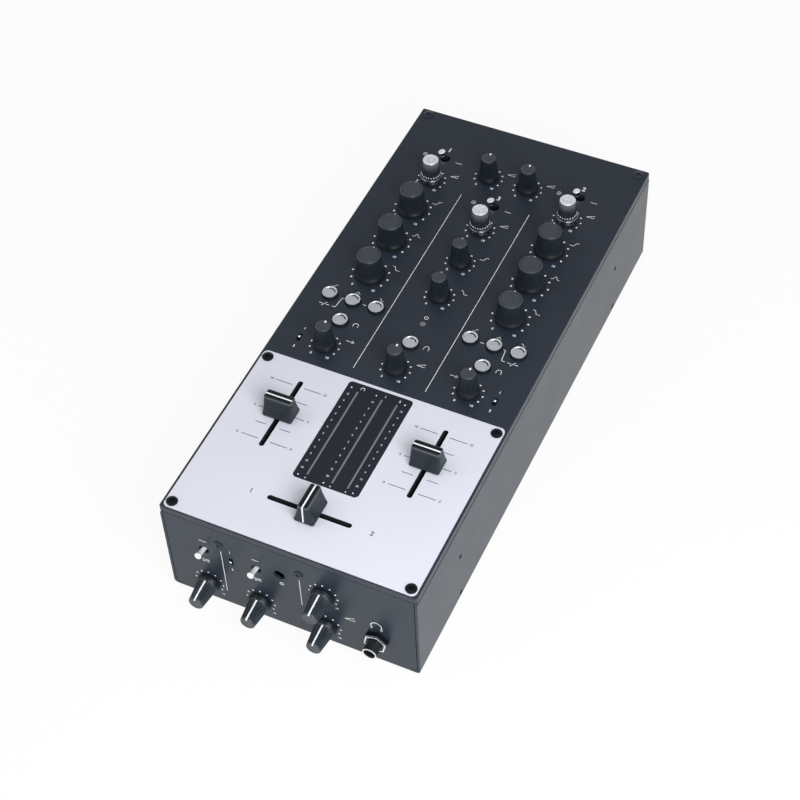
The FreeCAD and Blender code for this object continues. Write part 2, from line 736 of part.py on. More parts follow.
def fader_plate():
    plate_y = f"({PLATE_FRONT} + {PLATE_REAR}) / 2"
    blank = rounded_block("fader_plate_blank", PLATE_WIDTH, "fader_plate_depth", "fader_plate_gauge",
                          "plate_corner", "0", plate_y, PLATE_UNDER)
    depth = "3 * fader_plate_gauge"
    low = f"{PLATE_UNDER} - fader_plate_gauge"
    tools = [slot("channel_slot", SLOT_LENGTH, "slot_width", depth, "y", f"{side} * {COLUMN}", FADER_ROW, low)
             for side in ("-1", "1")]
    tools.append(slot("cross_slot", SLOT_LENGTH, "slot_width", depth, "x", "0", CROSS_ROW, low))
    tools.append(rounded_block("window_opening", "window_width", WINDOW_LENGTH, depth, "window_corner",
                               "0", FADER_ROW, low))
    tools += holes("plate_screw_hole", PLATE_SCREWS, "screw_radius + screw_clearance", low, depth)
    return node(cut("fader_plate", blank, tools), "fader_plate")


def meter():
    gap = "2 * window_clearance"
    window = rounded_block("meter_window", f"window_width - {gap}", f"{WINDOW_LENGTH} - {gap}",
                           "fader_plate_gauge", "window_corner - window_clearance",
                           "0", FADER_ROW, PLATE_UNDER)
    node(window, "meter_window")
    length = f"{WINDOW_LENGTH} - 2 * meter_bar_margin"
    bars = [box("meter_bar", "meter_bar_width", length, "meter_bar_height", x, FADER_ROW,
                f"{PLATE_UNDER} - meter_bar_height")
            for x in ("-meter_cue_x", "meter_left_x", "meter_right_x")]
    bars.append(cylinder("power_light", "meter_bar_width", f"plate_gauge + {BOARD_DEPTH}", "0", CUT_ROW,
                         f"{UNDER} - {BOARD_DEPTH}"))
    return node(group("meter_lights", bars), "meter_lights")


def screw(name, radius, length, head_radius, head_height, crown_radius, edge_height):
    # screw seated at z = 0 with a domed head above and its shank below
    return turned(name, [("0", head_height), (crown_radius, head_height), (head_radius, edge_height),
                         (head_radius, "0"), (radius, "0"), (radius, f"-{length}"), ("0", f"-{length}")])


def screws():
    large = screw("large_screw", "screw_radius", "screw_length", "screw_head_radius", "screw_head_height",
                  "screw_crown_radius", "screw_edge_height")
    small = screw("small_screw", "small_screw_radius", "small_screw_length", "small_head_radius",
                  "small_head_height", "small_crown_radius", "small_edge_height")
    node(group("plate_screws", [copy(large, x, y, TOP) for x, y in PLATE_SCREWS]), "plate_screws")
    case = [copy(large, x, y, TOP) for x, y in TOP_SCREWS]
    case += [copy(small, x, FRONT, z, TO_FRONT) for x, z in FRONT_SCREWS]
    case += [copy(small, x, y, "foot_height", UPSIDE_DOWN) for x, y in FLOOR_SCREWS]
    return node(group("case_screws", case), "case_screws")


def rubber_feet():
    foot = turned("rubber_foot", [("0", "0"), ("foot_radius - foot_taper", "0"),
                                  ("foot_radius", "foot_height"), ("0", "foot_height")])
    feet = [copy(foot, f"{side} * ({HALF} - foot_inset)", f"{end} * ({REAR} - foot_inset)")
            for side in ("-1", "1") for end in ("-1", "1")]
    return node(group("rubber_feet", feet), "rubber_feet")


def knob_cap(name, skirt, body, top):
    # knob with a flared skirt and a blind bore, above a panel face at z = 0
    crown = "knob_gap + knob_height"
    bore = "spindle_radius + run_clearance"
    roof = "knob_gap + knob_bore_depth"
    return turned(name, [(bore, "knob_gap"), (skirt, "knob_gap"), (skirt, "knob_gap + knob_rim"),
                         (body, "knob_gap + skirt_height"), (top, f"{crown} - knob_chamfer"),
                         (f"{top} - knob_chamfer", crown), ("0", crown), ("0", roof), (bore, roof)])


def spindle(name, gauge):
    foot = f"-({gauge} + pot_bore_depth - spindle_end_gap)"
    return cylinder(name, "spindle_radius", f"knob_gap + knob_bore_depth - ({foot})", "0", "0", foot)


def knobs():
    caps = {
        "small": knob_cap("small_cap", "small_skirt_radius", "small_body_radius", "small_top_radius"),
        "tone": knob_cap("tone_cap", "tone_skirt_radius", "tone_body_radius", "tone_top_radius"),
    }
    top_spindle = spindle("top_spindle", "plate_gauge")
    front_spindle = spindle("front_spindle", "sheet_gauge")
    for name, style, x, y in TOP_KNOBS:
        parts = [copy(caps[style]), copy(top_spindle)]
        node(place(group(name, parts), x, y, TOP), name)
    for name, x, z in FRONT_KNOBS:
        parts = [copy(caps["small"]), copy(front_spindle)]
        node(place(group(name, parts), x, FRONT, z, TO_FRONT), name)


def potentiometers():
    # bodies below a panel whose inner face is z = 0, with a bush that guides the spindle
    bush_radius = "spindle_radius + run_clearance + pot_bush_wall"
    body = box("pot_body", "pot_width", "pot_width", "pot_body_height", "0", "0", f"-{BOARD_DEPTH}")
    bush = cylinder("pot_bush", bush_radius, "pot_bush_height", "0", "0", "-pot_bush_height")
    bore = cylinder("pot_bore", "spindle_radius + run_clearance", "pot_bore_depth", z="-pot_bore_depth")
    pot = cut("potentiometer", fuse("pot_shell", [body, bush]), [bore])
    base = box("trimmer_body", "trimmer_width", "trimmer_width", "trimmer_body_height", z=f"-{BOARD_DEPTH}")
    head_height = f"{BOARD_DEPTH} - trimmer_body_height - trimmer_setback"
    head = cylinder("trimmer_head", "trimmer_screw_radius", head_height, "0", "0",
                    f"trimmer_body_height - {BOARD_DEPTH}")
    trimmer = fuse("trimmer", [base, head])
    inside = f"{FRONT} + sheet_gauge"
    pots = [copy(pot, x, y, UNDER) for _, _, x, y in TOP_KNOBS]
    pots += [copy(pot, x, inside, z, TO_FRONT) for _, x, z in FRONT_KNOBS]
    pots.append(copy(trimmer, TRIMMER_X, inside, TRIMMER_ROW, TO_FRONT))
    return node(group("potentiometers", pots), "potentiometers")


def buttons():
    # cap and stem in one moulding, above a panel face at z = 0
    foot = "-(plate_gauge + button_skirt)"
    stem_foot = f"-(plate_gauge + {BOARD_DEPTH} - switch_height + stem_reach)"
    cap = turned("button_cap", [("0", "button_height - button_dish_depth"),
                                ("button_dish_radius", "button_height - button_dish_depth"),
                                ("button_radius - button_rim", "button_height"),
                                ("button_radius", "button_height - button_rim"), ("button_radius", foot),
                                ("stem_radius", foot), ("stem_radius", stem_foot), ("0", stem_foot)])
    for name, x, y in BUTTONS:
        node(place(group(name, [copy(cap)]), x, y, TOP), name)
    body = box("switch_body", "switch_width", "switch_width", "switch_height", "0", "0", f"-{BOARD_DEPTH}")
    bore = cylinder("switch_bore", "stem_radius + run_clearance", "stem_bore_depth", "0", "0",
                    f"switch_height - {BOARD_DEPTH} - stem_bore_depth")
    switch = cut("push_switch", body, [bore])
    node(group("push_switches", [copy(switch, x, y, UNDER) for _, x, y in BUTTONS]), "push_switches")


def toggle_lever(name, length):
    # lever about its pivot at the origin: a ball, a stem and a flared end
    stem = turned(f"{name}_stem", [("0", "0"), ("toggle_root_radius", "0"),
                                   ("toggle_root_radius", f"{length} - toggle_flare"),
                                   ("toggle_tip_radius", f"{length} - toggle_crown"),
                                   ("toggle_tip_radius - toggle_crown", length),
                                   ("0", length)])
    ball = doc.addObject("Part::Sphere", f"{name}_ball")
    bind(ball, Radius="toggle_ball_radius")
    return fuse(name, [stem, ball])


def toggles():
    top_lever = toggle_lever("top_lever", "toggle_length")
    front_lever = toggle_lever("front_lever", "front_toggle_length")
    for name, x, y in TOP_TOGGLES:
        item = place(group(name, [copy(top_lever)]), x, y, f"{UNDER} - toggle_pivot_depth",
                     FreeCAD.Rotation(FreeCAD.Vector(0, -1, 0), SIZES["toggle_lean"]))
        item.setExpression("Placement.Rotation.Angle", bound("toggle_lean"))
        node(item, name)
    for name, x, z in FRONT_TOGGLES:
        item = place(group(name, [copy(front_lever)]), x, f"{FRONT} + sheet_gauge + toggle_pivot_depth", z,
                     TO_FRONT)
        item.setExpression("Placement.Rotation.Angle", bound("90 - toggle_lean"))
        node(item, name)


def slides():
    # actuators rest in the middle of their slots, above a panel face at z = 0
    for name, x, y in TOP_SLIDES:
        node(place(group(name, [slide_actuator(f"{name}_stud", "plate_gauge")]), x, y, TOP), name)
    item = group("slide_front", [slide_actuator("slide_front_stud", "sheet_gauge")])
    node(place(item, FRONT_SLIDE_X, FRONT, FRONT_SLIDE, TO_FRONT), "slide_front")


def slide_actuator(name, gauge):
    foot = f"({gauge} + slide_body_gap + slide_foot)"
    return box(name, "slide_width", "slide_length", f"{foot} + slide_proud",
               "0", "0", f"-{foot}")


def lever_switches():
    # bodies of the toggles and slides, below a panel whose inner face is z = 0
    socket_floor = "toggle_pivot_depth + toggle_ball_radius + spindle_end_gap"
    body = box("lever_body", "lever_body_length", "lever_body_width", f"{BOARD_DEPTH} - toggle_collar",
               "0", "0", f"-{BOARD_DEPTH}")
    socket = cylinder("lever_socket", "toggle_ball_radius + run_clearance", socket_floor,
                      z=f"-({socket_floor})")
    lever = cut("lever_switch", body, [socket])
    slide_body = box("slide_body", "slide_body_width", "slide_body_length", f"{BOARD_DEPTH} - slide_body_gap",
                     "0", "0", f"-{BOARD_DEPTH}")
    groove_floor = "slide_body_gap + slide_foot + spindle_end_gap"
    groove = box("slide_groove", "slide_width + 2 * run_clearance",
                 "slide_length + slide_travel + 2 * slide_clearance", groove_floor,
                 z=f"-({groove_floor})")
    slide = cut("slide_switch", slide_body, [groove])
    inside = f"{FRONT} + sheet_gauge"
    bodies = [copy(lever, x, y, UNDER) for _, x, y in TOP_TOGGLES]
    bodies += [copy(slide, x, y, UNDER) for _, x, y in TOP_SLIDES]
    for _, x, z in FRONT_TOGGLES:
        upright = group("front_lever_switch", [copy(lever, turn=QUARTER_TURN)])
        bodies.append(place(upright, x, inside, z, TO_FRONT))
    bodies.append(copy(slide, FRONT_SLIDE_X, inside, FRONT_SLIDE, TO_FRONT))
    return node(group("lever_switches", bodies), "lever_switches")


def faders():
    # a cap on its tongue runs along local Y, with the fader plate's upper face at z = 0
    half = "fader_cap_width / 2"
    waist = "fader_cap_waist / 2"
    ridge = "fader_cap_ridge / 2"
    right = [(half, "fader_cap_gap"), (half, "fader_cap_gap + fader_cap_foot"),
             (waist, "fader_cap_waist_height"), (ridge, "fader_cap_height")]
    left = [(f"-{x}", z) for x, z in reversed(right)]
    # the cap's ridge lies across its travel
    moulding = extruded("cap_moulding", "XZ_Plane", right + left, "fader_cap_length", True)
    pocket = box("tongue_pocket", "tongue_length + 2 * run_clearance", "tongue_width + 2 * run_clearance",
                 "tongue_rise", "0", "0", "0")
    cap = cut("fader_cap", moulding, [pocket])
    foot = "(fader_plate_gauge + tongue_drop)"
    tongue = box("fader_tongue", "tongue_length", "tongue_width", f"{foot} + tongue_rise", z=f"-{foot}")
    for name, side in (("fader_cap_1", "-1"), ("fader_cap_2", "1")):
        item = group(name, [copy(cap), copy(tongue)])
        node(place(item, f"{side} * {COLUMN}", FADER_ROW, TOP, QUARTER_TURN), name)
    item = group("fader_cap_cross", [copy(cap), copy(tongue)])
    node(place(item, "cross_rest", CROSS_ROW, TOP), "fader_cap_cross")
    length = f"({SLOT_LENGTH} + 2 * fader_end_wall)"
    body = box("fader_body", length, "fader_body_width", "fader_body_height", "0", "0", "-fader_body_height")
    groove_floor = "tongue_drop + spindle_end_gap"
    groove = box("fader_groove", SLOT_LENGTH, "tongue_width + 2 * run_clearance", groove_floor,
                 "0", "0", f"-({groove_floor})")
    unit = cut("fader_unit", body, [groove])
    units = [copy(unit, f"{side} * {COLUMN}", FADER_ROW, PLATE_UNDER, QUARTER_TURN) for side in ("-1", "1")]
    units.append(copy(unit, "0", CROSS_ROW, PLATE_UNDER))
    return node(group("fader_units", units), "fader_units")


def main_board():
    top = f"({UNDER} - {BOARD_DEPTH})"
    front = f"({FX_ROW} - board_margin)"
    rear = f"({TOGGLE_ROW} + board_margin)"
    board = box("main_board", f"2 * ({LIP_MOUTH} + board_overhang)", f"{rear} - {front}", "board_gauge",
                "0", f"({front} + {rear}) / 2", f"{top} - board_gauge")
    spots = [(f"{side} * {x}", y) for side in ("-1", "1")
             for x, y in ((f"{COLUMN} / 2", FX_ROW), (OPENING_HALF, f"({MID_ROW} + {HIGH_ROW}) / 2"),
                          (OPENING_HALF, TOGGLE_ROW))]
    return [board] + [cylinder("main_post", "post_radius", BOARD_DEPTH, x, y, top) for x, y in spots]


def meter_board():
    top = f"({PLATE_UNDER} - meter_bar_height)"
    board = box("meter_board", "window_width + 4 * post_radius", WINDOW_LENGTH, "board_gauge",
                "0", FADER_ROW, f"{top} - board_gauge")
    reach = f"({WINDOW_LENGTH} / 2 - 2 * post_radius)"
    posts = [cylinder("meter_post", "post_radius", "meter_bar_height",
                      f"{side} * (window_width / 2 + post_radius)", f"{FADER_ROW} {end} {reach}", top)
             for side in ("-1", "1") for end in ("-", "+")]
    return [board] + posts


def front_board():
    left = f"({CURVE_X} - pot_width)"
    right = f"({PHONES_X} + pot_width)"
    low = f"({FLOOR} + 3 * sheet_gauge)"
    high = f"({UNDER} - 3 * plate_gauge)"
    inside = f"({FRONT} + sheet_gauge)"
    board = box("front_board", f"{right} - {left}", "board_gauge", f"{high} - {low}",
                f"({left} + {right}) / 2", f"{inside} + {BOARD_DEPTH} + board_gauge / 2", low)
    outer = cylinder("standoff_outer", "post_radius", BOARD_DEPTH, "0", "0", f"-{BOARD_DEPTH}")
    bore = cylinder("standoff_bore", "small_screw_radius + run_clearance", "small_screw_length", "0", "0",
                    "-small_screw_length")
    standoff = cut("standoff", outer, [bore])
    return [board] + [copy(standoff, x, inside, z, TO_FRONT) for x, z in FRONT_SCREWS]


def supply_board():
    y = f"({REAR} - transformer_setback - supply_gap)"
    board = box("supply_board", "supply_width", "supply_depth", "board_gauge",
                "0", y, f"{FLOOR} + supply_post_height")
    posts = [cylinder("supply_post", "post_radius", "supply_post_height",
                      f"{side} * (supply_width / 2 - supply_post_inset)",
                      f"{y} + {end} * (supply_depth / 2 - supply_post_inset)", FLOOR)
             for side in ("-1", "1") for end in ("-1", "1")]
    return [board] + posts


def socket_board():
    first = rear_column("rear_inset")
    last = rear_column(LAST_PHONO)
    return [box("socket_board", f"({last}) - ({first}) + {PHONO_SPREAD}", "board_gauge",
                "phono_rise + 2 * phono_block_margin", f"(({first}) + ({last})) / 2",
                f"{REAR} - sheet_gauge - phono_block_depth - board_gauge / 2",
                f"{PHONO_ROW} - phono_rise / 2 - phono_block_margin")]


def circuit_boards():
    boards = main_board() + meter_board() + front_board() + supply_board() + socket_board()
    return node(group("circuit_boards", boards), "circuit_boards")


def headphone_jack():
    # barrel out through the front panel, with its outer face at z = 0
    body = box("jack_body", "jack_body_width", "jack_body_width", "jack_body_depth", "0", "0",
               "-(sheet_gauge + jack_body_depth)")
    barrel = cylinder("jack_barrel", "jack_barrel_radius", "sheet_gauge + jack_reach", z="-sheet_gauge")
    bore_floor = "(sheet_gauge + jack_body_depth - jack_back_wall)"
    bore = cylinder("jack_bore", "jack_bore_radius", f"jack_reach + {bore_floor}", z=f"-{bore_floor}")
    socket = cut("jack_socket", fuse("jack_shell", [body, barrel]), [bore])
    nut_blank = doc.addObject("Part::Prism", "jack_nut_blank")
    nut_blank.Polygon = 6
    bind(nut_blank, Circumradius="jack_nut_flats / sqrt(3)", Height="jack_nut_height")
    thread = cylinder("jack_nut_thread", "jack_barrel_radius + run_clearance", "3 * jack_nut_height",
                      z="-jack_nut_height")
    nut = copy(cut("jack_nut", nut_blank, [thread]),
               turn=FreeCAD.Rotation(FreeCAD.Vector(0, 0, 1), SIZES["jack_nut_turn"]))
    nut.setExpression("Placement.Rotation.Angle", bound("jack_nut_turn"))
    item = group("headphone_jack", [copy(socket), nut])
    return node(place(item, JACK_X, FRONT, JACK_ROW, TO_FRONT), "headphone_jack")


def rear_sockets():
    # phono sockets in pairs and an earth post, in a frame whose z = 0 is the panel's outer face
    block_back = "(sheet_gauge + phono_block_depth)"
    shell = [box("phono_block", f"{PHONO_SPREAD} - phono_block_gap", "phono_rise + 2 * phono_block_margin",
                 "phono_block_depth", "0", "0", f"-{block_back}")]
    bores = []
    for sign in ("-", "+"):
        y = f"0 {sign} phono_rise / 2"
        tip = "phono_collar_proud + phono_sleeve_length"
        shell.append(cylinder("phono_collar", "phono_collar_radius", "sheet_gauge + phono_collar_proud",
                              "0", y, "-sheet_gauge"))
        shell.append(cylinder("phono_sleeve", "phono_sleeve_radius", f"{tip} + sheet_gauge",
                              "0", y, "-sheet_gauge"))
        bores.append(cylinder("phono_bore", "phono_hole_radius", "phono_hole_depth", "0", y,
                              f"{tip} - phono_hole_depth"))
    pair = cut("phono_pair", fuse("phono_shell", shell), bores)
    sockets = [copy(pair, rear_column(f"rear_inset + {k} * phono_pitch"), REAR, PHONO_ROW, TO_REAR)
               for k in range(PHONO_COLUMNS)]
    stud = "earth_stud_radius"
    washer = "earth_washer_height"
    nut_top = f"{washer} + earth_nut_height"
    back = "-(sheet_gauge + earth_inner_nut_height)"
    post = turned("earth_post", [("0", "earth_reach"), (stud, "earth_reach"), (stud, nut_top),
                                 ("earth_nut_radius", nut_top), ("earth_nut_radius", washer),
                                 ("earth_washer_radius", washer), ("earth_washer_radius", "0"), (stud, "0"),
                                 (stud, "-sheet_gauge"), ("earth_washer_radius", "-sheet_gauge"),
                                 ("earth_washer_radius", back), ("0", back)])
    sockets.append(copy(post, EARTH_X, REAR, EARTH_ROW, TO_REAR))
    return node(group("rear_sockets", sockets), "rear_sockets")


def flanged_box(name, flange_width, flange_height, flange_gauge, body_width, body_height, body_depth):
    flange = box(f"{name}_flange", flange_width, flange_height, flange_gauge)
    body = box(f"{name}_body", body_width, body_height, f"{body_depth} + {flange_gauge}",
               z=f"-({body_depth})")
    return fuse(f"{name}_shell", [flange, body])


def mains_inlet():
    # inlet and rocker housing, in a frame whose z = 0 is the panel's outer face
    shell = flanged_box("inlet", "inlet_flange_width", "inlet_flange_height", "inlet_flange_gauge",
                        "inlet_body_width", "inlet_body_height", "inlet_body_depth")
    well = box("inlet_well", "inlet_well_width", "inlet_well_height", "2 * inlet_well_depth", "0", "0",
               "inlet_flange_gauge - inlet_well_depth")
    hollow = cut("inlet_hollow", shell, [well])
    pins = [box("inlet_pin", "inlet_pin_width", "inlet_pin_height", "inlet_pin_length",
                f"{step} * inlet_pin_pitch", f"{rise} * inlet_earth_rise",
                "inlet_flange_gauge - inlet_well_depth")
            for step, rise in (("-1", "0"), ("0", "-1"), ("1", "0"))]
    inlet = fuse("inlet_socket", [hollow] + pins)
    housing = flanged_box("rocker_housing", "rocker_bezel_width", "rocker_bezel_height", "rocker_bezel_gauge",
                          "rocker_body_width", "rocker_body_height", "rocker_body_depth")
    rocker_well = box("rocker_well", "rocker_width + 2 * rocker_clearance",
                      "rocker_length + 2 * rocker_clearance", "2 * rocker_well_depth",
                      z="rocker_bezel_gauge - rocker_well_depth")
    axle = cylinder("rocker_axle_hole", "rocker_pin_radius + run_clearance",
                    "rocker_width + 2 * (rocker_clearance + rocker_pin_reach + run_clearance)",
                    "-(rocker_width / 2 + rocker_clearance + rocker_pin_reach + run_clearance)", "0",
                    "rocker_bezel_gauge - rocker_sink", FreeCAD.Rotation(FreeCAD.Vector(0, 1, 0), 90))
    switch = cut("rocker_switch", housing, [rocker_well, axle])
    parts = [copy(inlet, INLET_X, REAR, INLET_ROW, TO_REAR),
             copy(switch, ROCKER_X, REAR, ROCKER_ROW, TO_REAR)]
    return node(group("mains_inlet", parts), "mains_inlet")


def power_rocker():
    # paddle about an axle along X through the origin, with two shallow slopes that meet at its waist
    end = "rocker_length / 2"
    section = [("0", "-rocker_keel_drop"), (end, "-rocker_end_drop"), (end, "rocker_end_rise"),
               ("0", "rocker_waist_rise"), (f"-{end}", "rocker_end_rise"), (f"-{end}", "-rocker_end_drop")]
    paddle = extruded("rocker_paddle", "YZ_Plane", section, "rocker_width", True)
    reach = "(rocker_width / 2 + rocker_clearance + rocker_pin_reach)"
    axle = cylinder("rocker_axle", "rocker_pin_radius", f"2 * {reach}", f"-{reach}", "0", "0",
                    FreeCAD.Rotation(FreeCAD.Vector(0, 1, 0), 90))
    item = group("power_rocker", [fuse("rocker_moulding", [paddle, axle])])
    place(item, ROCKER_X, f"{REAR} + rocker_bezel_gauge - rocker_sink", ROCKER_ROW,
          FreeCAD.Rotation(FreeCAD.Vector(-1, 0, 0), 90))
    item.setExpression("Placement.Rotation.Angle", bound("90 - rocker_lean"))
    return node(item, "power_rocker")


def power_transformer():
    x = f"-({HALF} - transformer_inset)"
    y = f"({REAR} - transformer_setback)"
    foot = box("core_foot", "core_foot_width", "core_depth", "core_foot_gauge", x, y, FLOOR)
    core = box("core", "core_width", "core_depth", "core_height", x, y, FLOOR)
    coil = box("coil", "coil_width", "coil_depth", "coil_height", x, y,
               f"{FLOOR} + (core_height - coil_height) / 2")
    return node(fuse("power_transformer", [foot, core, coil]), "power_transformer")


def check(item):
    if "Invalid" in item.State or "Error" in item.State:
        raise RuntimeError(f"{item.Label} did not recompute: {item.State}")


def build():
    fill_sheet()
    base_chassis()
    front_panel()
    rear_panel()
    top_panel()
    fader_plate()
    meter()
    screws()
    rubber_feet()
    knobs()
    potentiometers()
    buttons()
    toggles()
    slides()
    lever_switches()
    faders()
    circuit_boards()
    headphone_jack()
    rear_sockets()
    mains_inlet()
    power_rocker()
    power_transformer()
    doc.recompute()
    for item in doc.Objects:
        check(item)
    os.makedirs("parts", exist_ok=True)
    for item in nodes:
        if item.Shape.isNull() or not item.Shape.isValid():
            raise RuntimeError(f"{item.Label} has no valid shape")
        item.Shape.exportStep(f"parts/{item.Label}.step")


build()
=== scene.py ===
import json
import math
import bmesh
import bpy
import numpy as np
from mathutils import Matrix, Vector


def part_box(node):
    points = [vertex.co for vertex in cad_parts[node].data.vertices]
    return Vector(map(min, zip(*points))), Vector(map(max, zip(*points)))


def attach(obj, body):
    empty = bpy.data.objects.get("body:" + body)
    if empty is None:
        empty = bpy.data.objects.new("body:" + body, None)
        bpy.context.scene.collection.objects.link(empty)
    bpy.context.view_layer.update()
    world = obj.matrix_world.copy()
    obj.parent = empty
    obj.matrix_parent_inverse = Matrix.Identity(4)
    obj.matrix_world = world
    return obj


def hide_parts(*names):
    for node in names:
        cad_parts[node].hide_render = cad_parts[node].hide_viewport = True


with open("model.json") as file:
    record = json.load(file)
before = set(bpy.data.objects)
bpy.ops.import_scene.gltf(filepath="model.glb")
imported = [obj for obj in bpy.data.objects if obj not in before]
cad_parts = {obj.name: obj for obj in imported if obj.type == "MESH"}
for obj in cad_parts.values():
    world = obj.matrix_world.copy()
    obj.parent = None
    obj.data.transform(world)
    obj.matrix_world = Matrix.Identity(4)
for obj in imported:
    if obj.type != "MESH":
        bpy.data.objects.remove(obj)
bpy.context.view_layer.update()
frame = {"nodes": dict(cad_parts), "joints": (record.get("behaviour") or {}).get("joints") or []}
mm = 0.001
nodes = frame["nodes"]
joints = {j["child"]: j for j in frame["joints"]}


def boxOf(node):  # lowest and highest corner of a node in millimetres
    return [np.array(c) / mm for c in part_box(node)]


def centreOf(node):
    low, high = boxOf(node)
    return (low + high) / 2


def pivotOf(node):  # where a node's joint sits, in millimetres
    return np.array(joints[node]["pos_m"]) / mm


def aboutX(turn):  # radians
    c, s = math.cos(turn), math.sin(turn)
    return np.array([[1, 0, 0], [0, c, -s], [0, s, c]])


def aboutY(turn):  # radians
    c, s = math.cos(turn), math.sin(turn)
    return np.array([[c, 0, s], [0, 1, 0], [-s, 0, c]])


topZ = boxOf("top_panel")[1][2]
frontY = boxOf("front_panel")[0][1]
rearY = boxOf("rear_panel")[1][1]
halfX = boxOf("base_chassis")[1][0]
floorZ = boxOf("base_chassis")[0][2]
onTop = np.eye(3)
acrossTop = np.array([[0, 1, 0], [-1, 0, 0], [0, 0, 1]])  # a quarter turn about z
onFront = np.array([[1, 0, 0], [0, 0, -1], [0, 1, 0]])  # local y is up, local z comes out of the front
onRear = np.array([[-1, 0, 0], [0, 0, 1], [0, 1, 0]])  # local y is up, local z comes out of the rear
onFloor = np.array([[1, 0, 0], [0, -1, 0], [0, 0, -1]])  # local z comes out of the underside
print("frame loaded, top face at", round(float(topZ), 2), "mm")


class Value:  # a shader socket that takes arithmetic
    def __init__(self, finish, socket):
        self.finish, self.socket = finish, socket

    def calc(self, kind, a, b):
        return self.finish.node("ShaderNodeMath", {"operation": kind}, {0: a, 1: b})

    def __add__(self, other):
        return self.calc("ADD", self, other)

    def __radd__(self, other):
        return self.calc("ADD", other, self)

    def __sub__(self, other):
        return self.calc("SUBTRACT", self, other)

    def __rsub__(self, other):
        return self.calc("SUBTRACT", other, self)

    def __mul__(self, other):
        return self.calc("MULTIPLY", self, other)

    def __rmul__(self, other):
        return self.calc("MULTIPLY", other, self)

    def __abs__(self):
        return self.calc("ABSOLUTE", self, 0.0)

    def max(self, other):
        return self.calc("MAXIMUM", self, other)

    def ease(self, low, high):  # 0 below low, 1 above high, smooth between
        return self.finish.node("ShaderNodeMapRange", {"interpolation_type": "SMOOTHSTEP"},
                                {"Value": self, "From Min": low, "From Max": high})

    def swing(self, amount):  # how far a noise is from its middle, times an amount
        return amount * (self - 0.5)


class Finish:  # a node material with one principled shader
    def __init__(self, name, **fixed):
        self.mat = bpy.data.materials.new(name)
        self.mat.use_nodes = True
        self.tree = self.mat.node_tree
        self.shader = self.tree.nodes["Principled BSDF"]
        self.at = self.node("ShaderNodeTexCoord", out="Object")
        self.set(**fixed)

    def plug(self, socket, value):
        if isinstance(value, Value):
            self.tree.links.new(value.socket, socket)
        else:
            socket.default_value = value

    def node(self, kind, settings=None, sockets=None, out=0):
        made = self.tree.nodes.new(kind)
        for key, value in (settings or {}).items():
            setattr(made, key, value)
        for key, value in (sockets or {}).items():
            self.plug(made.inputs[key], value)
        return Value(self, made.outputs[out])

    def set(self, **values):  # principled inputs by name, with _ for a space
        for key, value in values.items():
            self.plug(self.shader.inputs[key.replace("_", " ")], value)
        return self

    def mix(self, factor, a, b):  # colours
        return self.node("ShaderNodeMix", {"data_type": "RGBA"}, {0: factor, 6: a, 7: b}, out=2)

    def noise(self, size, detail=3.0, rough=0.55, stretch=(1, 1, 1)):  # size of a blotch in millimetres
        where = self.node("ShaderNodeMapping", None, {"Vector": self.at, "Scale": stretch})
        return self.node("ShaderNodeTexNoise", None,
                         {"Vector": where, "Scale": 1 / (size * mm), "Detail": detail, "Roughness": rough})

    def cells(self, size):  # size of a cell in millimetres
        return self.node("ShaderNodeTexVoronoi", None, {"Vector": self.at, "Scale": 1 / (size * mm)})

    def axis(self, name):  # object coordinate in millimetres
        return self.node("ShaderNodeSeparateXYZ", None, {0: self.at}, out=name) * (1 / mm)

    def bump(self, height, depth, strength):  # depth in millimetres
        return self.set(Normal=self.node("ShaderNodeBump", None,
                                         {"Height": height, "Distance": depth * mm, "Strength": strength}))


def grey(level):
    return (level, level, level, 1)


def shade(tone, factor, lift=0.0):  # a colour made lighter or darker
    return tuple(c * factor + lift for c in tone[:3]) + (1,)


class Shape:  # grids of points gathered into one mesh
    def __init__(self):
        self.points, self.faces, self.slots, self.count = [], [], [], 0

    def polys(self, points, faces, slot=0):
        self.points.append(np.asarray(points, float).reshape(-1, 3))
        self.faces += [[i + self.count for i in f] for f in faces]
        self.slots += [slot] * len(faces)
        self.count += len(self.points[-1])
        return self

    def grid(self, points, slot=0):  # rows of points joined by quads, each row closed into a ring
        ids = np.arange(points[..., 0].size).reshape(points.shape[:2])
        ids = np.hstack([ids, ids[:, :1]])
        quads = np.stack([ids[:-1, :-1], ids[:-1, 1:], ids[1:, 1:], ids[1:, :-1]], axis=-1)
        return self.polys(points, quads.reshape(-1, 4).tolist(), slot)

    def moved(self, turn, at):
        self.points = [p @ np.asarray(turn, float).T + np.asarray(at, float) for p in self.points]
        return self

    def add(self, other):
        self.points += other.points
        self.faces += [[i + self.count for i in f] for f in other.faces]
        self.slots += other.slots
        self.count += other.count
        return self


def angles(count):  # evenly spaced round a full turn
    return 2 * math.pi * np.arange(count) / count


def lathe(profile, count, scale=None):  # radius and height pairs turned about z
    radius, height = np.array(profile, float).T[:, :, None]
    turn = angles(count)[None, :]
    if scale:  # dents the radius by angle and height
        radius = radius * scale(turn, height)
    return np.stack([radius * np.cos(turn), radius * np.sin(turn), height + 0 * turn], axis=-1)


def roundRect(halfLong, halfWide, corner, steps=5):  # quarter turns of the corner radius in one ring
    quarter = np.linspace(0, math.pi / 2, steps)
    parts = []
    for k, (sx, sy) in enumerate(((1, 1), (-1, 1), (-1, -1), (1, -1))):
        turn = quarter + k * math.pi / 2
        parts.append(np.column_stack([sx * (halfLong - corner) + corner * np.cos(turn),
                                      sy * (halfWide - corner) + corner * np.sin(turn)]))
    return np.concatenate(parts)


def atHeight(outline, z):  # a flat outline lifted to z
    return np.column_stack([outline, np.full(len(outline), z)])


